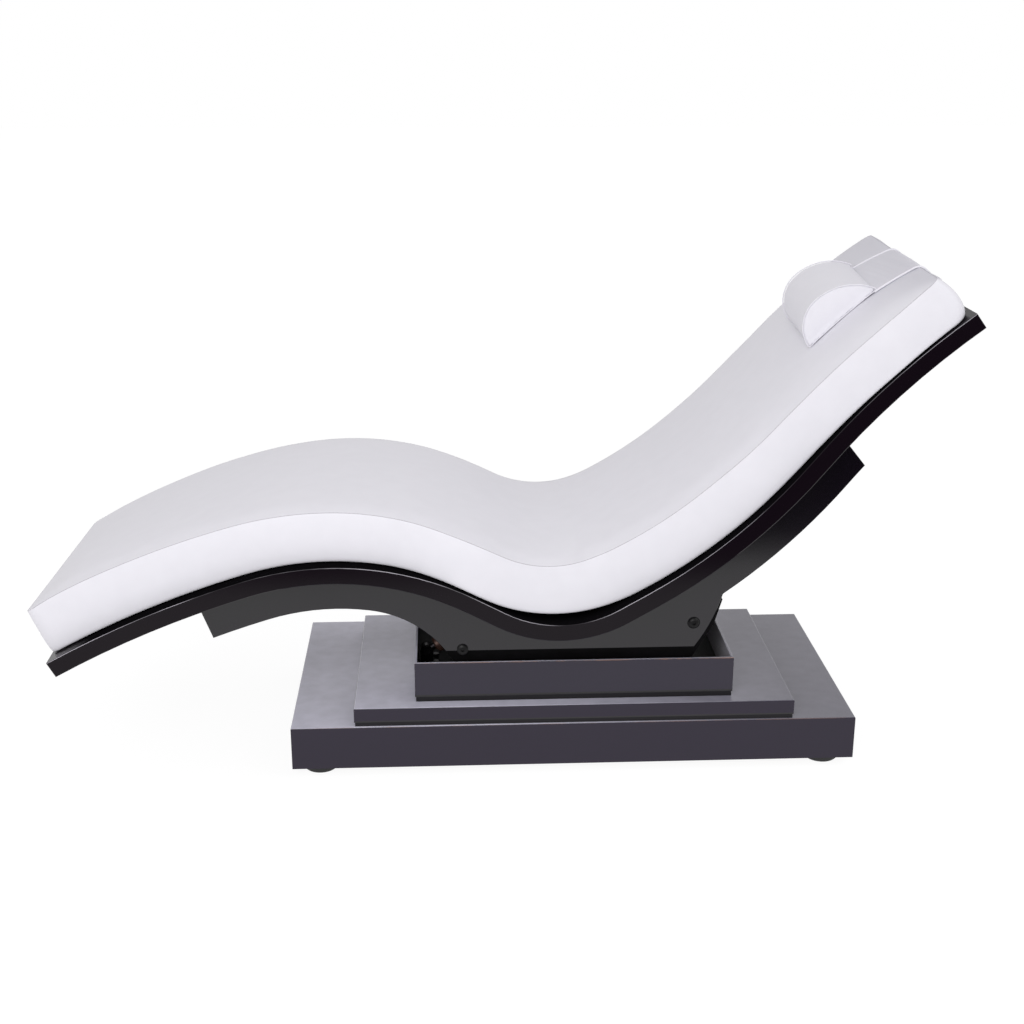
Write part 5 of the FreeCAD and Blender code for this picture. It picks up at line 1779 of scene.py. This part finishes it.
class Finishes:
    """Mixes every finish once and dresses the frame's own parts in them.

    Attributes:
        deck_bevel: The width of the painted highlight along the deck's top edges, in metres.
        shadow_lap: How far a painted shadow band reaches below the board that it lies on.
        middle_shadow: The height of the painted shadow band on the middle step.
        tray_shadow: The height of the painted shadow band on the tray.
        materials: The material of each slot.
        thread: The seams' material.
    """

    deck_bevel: float = 0.0011
    shadow_lap: float = 0.001
    middle_shadow: float = 0.0035
    tray_shadow: float = 0.005

    def __init__(self) -> None:
        """Mix the materials."""
        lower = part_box("lower_top_board")
        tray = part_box("tray_left_wall")
        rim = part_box("deck")[1].y - self.deck_bevel
        # The plinth's pale bloom is a painted sheen on its tops, and fade makes it weaker towards the head
        # end.
        plinth = Lacquer(
            "plinth_lacquer",
            (0.0145, 0.009, 0.024),
            (0.78, 0.765, 0.90),
            fade=0.8,
            edges=((lower[0].y, lower[1].z),),
            bands=(self.shadow("middle_board", self.middle_shadow),),
        )
        mixes = {
            Slot.RUBBER: Moulded("glide_rubber", (0.011, 0.0105, 0.011), (0.05, 0.05, 0.05), 0.55),
            Slot.PLINTH: plinth,
            Slot.CARCASS: Board("carcass_board"),
            Slot.PACKING: Lacquer("packing_black", (0.017, 0.016, 0.018), (0.017, 0.016, 0.018), 0.4, 0.15),
            Slot.TRAY: replace(
                plinth,
                name="tray_lacquer",
                body=(0.021, 0.0165, 0.032),
                edges=((tray[0].y, tray[1].z),),
                bands=(self.shadow("tray_left_wall", self.tray_shadow),),
                # Painted light on the inner face of the tray's head wall.
                inner_wall=True,
            ),
            Slot.TRAY_BED: Lacquer("tray_black", (0.004, 0.004, 0.004), (0.006, 0.006, 0.006), 0.6, 0.2),
            Slot.CHEEK: Steel("cheek_steel", (0.004, 0.0035, 0.0045), (0.002, 0.002, 0.002), 0.0, 0.5, 0.06),
            Slot.BRIGHT: Steel("bright_steel", (0.06, 0.055, 0.06), (0.03, 0.028, 0.03)),
            Slot.CAP: Steel("cap_steel", (0.003, 0.0025, 0.0035), (0.002, 0.002, 0.002), 0.0, 0.3, 0.22),
            Slot.BOX: Moulded("box_plastic", (0.02, 0.02, 0.022), (0.05, 0.05, 0.052)),
            Slot.RAIL: Lacquer("rail_lacquer", (0.0036, 0.0018, 0.005), (0.016, 0.014, 0.018), 0.14, 0.6),
            # The deck gets a painted highlight along its top edges and matt black cloth of painted shade on
            # its top.
            Slot.DECK: Lacquer(
                "deck_lacquer", (0.0055, 0.003, 0.0055), (0.012, 0.01, 0.013), 0.12, 0.17, rim=rim
            ),
            Slot.CROSS: Lacquer("cross_lacquer", (0.012, 0.008, 0.014), (0.03, 0.028, 0.034), 0.45, 0.3),
            Slot.BUSH: Moulded("bush_plastic", (0.014, 0.013, 0.015), (0.03, 0.028, 0.03), 0.4),
            Slot.TAPE: HookTape(),
            Slot.COVER: Leatherette(),
            Slot.DRIVE: Moulded("drive_plastic", (0.04, 0.037, 0.038), (0.08, 0.075, 0.075)),
            Slot.TUBE: Steel("drive_tube", (0.16, 0.075, 0.055), (0.09, 0.05, 0.04), 0.5, 0.34),
        }
        self.materials = {slot: mix.mix() for slot, mix in mixes.items()}
        self.thread = Thread().mix()

    def shadow(self, node: str, height: float) -> tuple[float, float, float]:
        """Return the painted shadow band at the foot of a board's near face, as its Y, lowest Z and highest
        Z.
        """
        low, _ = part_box(node)
        return low.y, low.z - self.shadow_lap, low.z + height

    def dress_frame(self) -> None:
        """Give every part of the frame the finish of its slot."""
        for name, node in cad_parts.items():
            for held in node.material_slots:
                held.material = self.materials[Slot(held.material.name.split(".")[0])]
            log.info("dressed %s", name)


# The studio


@dataclass
class Studio:
    """A white studio with soft light, and a camera where the photograph was taken.

    Attributes:
        eye: Where the camera stands.
        right: The way that its right side points.
        up: The way that its top points.
        ahead: The way that it looks.
        lens: Its focal length in millimetres.
        sensor: The width of its sensor in millimetres.
        sight: How far it sees, in metres.
        sky: How bright the studio's air is.
        floor_side: The length of the floor's sides, in metres.
        floor_shine: How much of the floor's own light the camera and mirrors see.
        floor_glow: How bright that light is.
        card_edge: The Y below which mirrors see the floor as a white card.
        card_blur: How softly the card ends.
        dark_room: How dark mirrors see the floor beyond it, from 0 to 1.
    """

    eye: tuple[float, float, float] = (-0.10349, -3.28149, 1.62013)
    right: tuple[float, float, float] = (0.998958, -0.045646, 0.0)
    up: tuple[float, float, float] = (0.014407, 0.315291, 0.948886)
    ahead: tuple[float, float, float] = (0.043313, 0.947896, -0.315621)
    lens: float = 52.57
    sensor: float = 36.0
    sight: float = 60.0
    sky: float = 0.60
    floor_side: float = 40.0
    floor_shine: float = 0.82
    floor_glow: float = 1.12
    card_edge: float = -1.62
    card_blur: float = 0.12
    dark_room: float = 0.97

    def make_camera(self) -> None:
        """Place the camera."""
        data = bpy.data.cameras.new("Camera")
        data.lens = self.lens
        data.sensor_width = self.sensor
        data.clip_end = self.sight
        camera = bpy.data.objects.new("Camera", data)
        bpy.context.scene.collection.objects.link(camera)
        back = -Vector(self.ahead)
        turn = Matrix((self.right, self.up, back)).transposed().to_4x4()
        camera.matrix_world = Matrix.Translation(self.eye) @ turn
        bpy.context.scene.camera = camera

    def make_floor(self) -> None:
        """Lay a pale floor that keeps the lounger's shadow.

        Mirrors see it as a white card with a dark room beyond.
        """
        clear_selection()
        bpy.ops.mesh.primitive_grid_add(x_subdivisions=2, y_subdivisions=2, size=self.floor_side)
        floor = settle(bpy.context.object, "studio_floor")
        paint = Paint.named("studio_floor")
        seen, glossy = paint.seen()
        chalk = paint.blend(paint.noise(3.0, 2.0), (0.80, 0.80, 0.805), (0.82, 0.82, 0.825))
        matt = paint.node("ShaderNodeBsdfDiffuse", {}, {"Color": chalk})
        white = paint.node("ShaderNodeEmission", {}, {"Color": (1.0, 1.0, 1.0), "Strength": self.floor_glow})
        black = paint.node("ShaderNodeEmission", {}, {"Color": (0.0, 0.0, 0.0), "Strength": 0.0})
        on_card = paint.axis("Y").ramp(self.card_edge - self.card_blur, self.card_edge + self.card_blur)
        lit = paint.coated(seen * self.floor_shine, matt, white)
        shown = paint.coated(glossy * (1.0 - on_card) * self.dark_room, lit, black)
        paint.node("ShaderNodeOutputMaterial", {}, {"Surface": shown.outputs[0]})
        floor.data.materials.append(paint.owner)

    def make_sky(self) -> None:
        """Light the studio evenly and show white behind the lounger."""
        world = bpy.data.worlds.new("Studio")
        bpy.context.scene.world = world
        paint = Paint(world)
        seen, _ = paint.seen()
        dim = paint.node("ShaderNodeBackground", {}, {"Color": (1.0, 0.99, 1.0), "Strength": self.sky})
        white = paint.node("ShaderNodeBackground", {}, {"Color": (1.0, 1.0, 1.0), "Strength": 1.0})
        shown = paint.coated(seen, dim, white)
        paint.node("ShaderNodeOutputWorld", {}, {"Surface": shown.outputs[0]})

    @staticmethod
    def make_lamp(name: str, eye: Sequence[float], aim: Sequence[float], size: float, power: float) -> None:
        """Hang one soft lamp.

        Args:
            name: The lamp's name.
            eye: Where it hangs.
            aim: The point that it lights.
            size: The side of its square face.
            power: Its power in watts.
        """
        data = bpy.data.lights.new(name, "AREA")
        data.shape = "SQUARE"
        data.size = size
        data.energy = power
        lamp = bpy.data.objects.new(name, data)
        bpy.context.scene.collection.objects.link(lamp)
        lamp.location = eye
        lamp.rotation_euler = (Vector(aim) - Vector(eye)).to_track_quat("-Z", "Y").to_euler()

    def make(self) -> None:
        """Set the studio up."""
        bpy.context.scene.view_settings.view_transform = "Standard"
        self.make_camera()
        self.make_floor()
        self.make_sky()
        self.make_lamp("Key", (-1.2, -4.2, 2.6), (0.0, 0.0, 0.6), 3.0, 100.0)
        self.make_lamp("Fill", (3.2, -1.5, 3.4), (0.2, 0.0, 0.6), 2.5, 30.0)


def main() -> None:
    """Dress the lounger and set up its studio."""
    logging.basicConfig(level=logging.INFO, format="%(name)s: %(message)s")
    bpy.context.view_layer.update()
    clear_selection()
    line = DeckLine()
    route = line.mattress()
    finishes = Finishes()
    finishes.dress_frame()
    mattress = Mattress(route)
    pillow = Pillow(route)
    cover, tape = finishes.materials[Slot.COVER], finishes.materials[Slot.TAPE]
    groups = (
        ([mattress.make_body()], cover, Slot.COVER),
        (mattress.make_seam(), finishes.thread, Slot.COVER),
        (pillow.make(), cover, Slot.COVER),
        (Flap(route, mattress, pillow).make(), cover, Slot.COVER),
        (HookStrips(line.deck()).make(), tape, Slot.TAPE),
    )
    for pieces, material, slot in groups:
        for piece in pieces:
            dress(piece, material)
            log.info("made %s", piece.name)
    Studio().make()


if __name__ == "__main__":
    main()
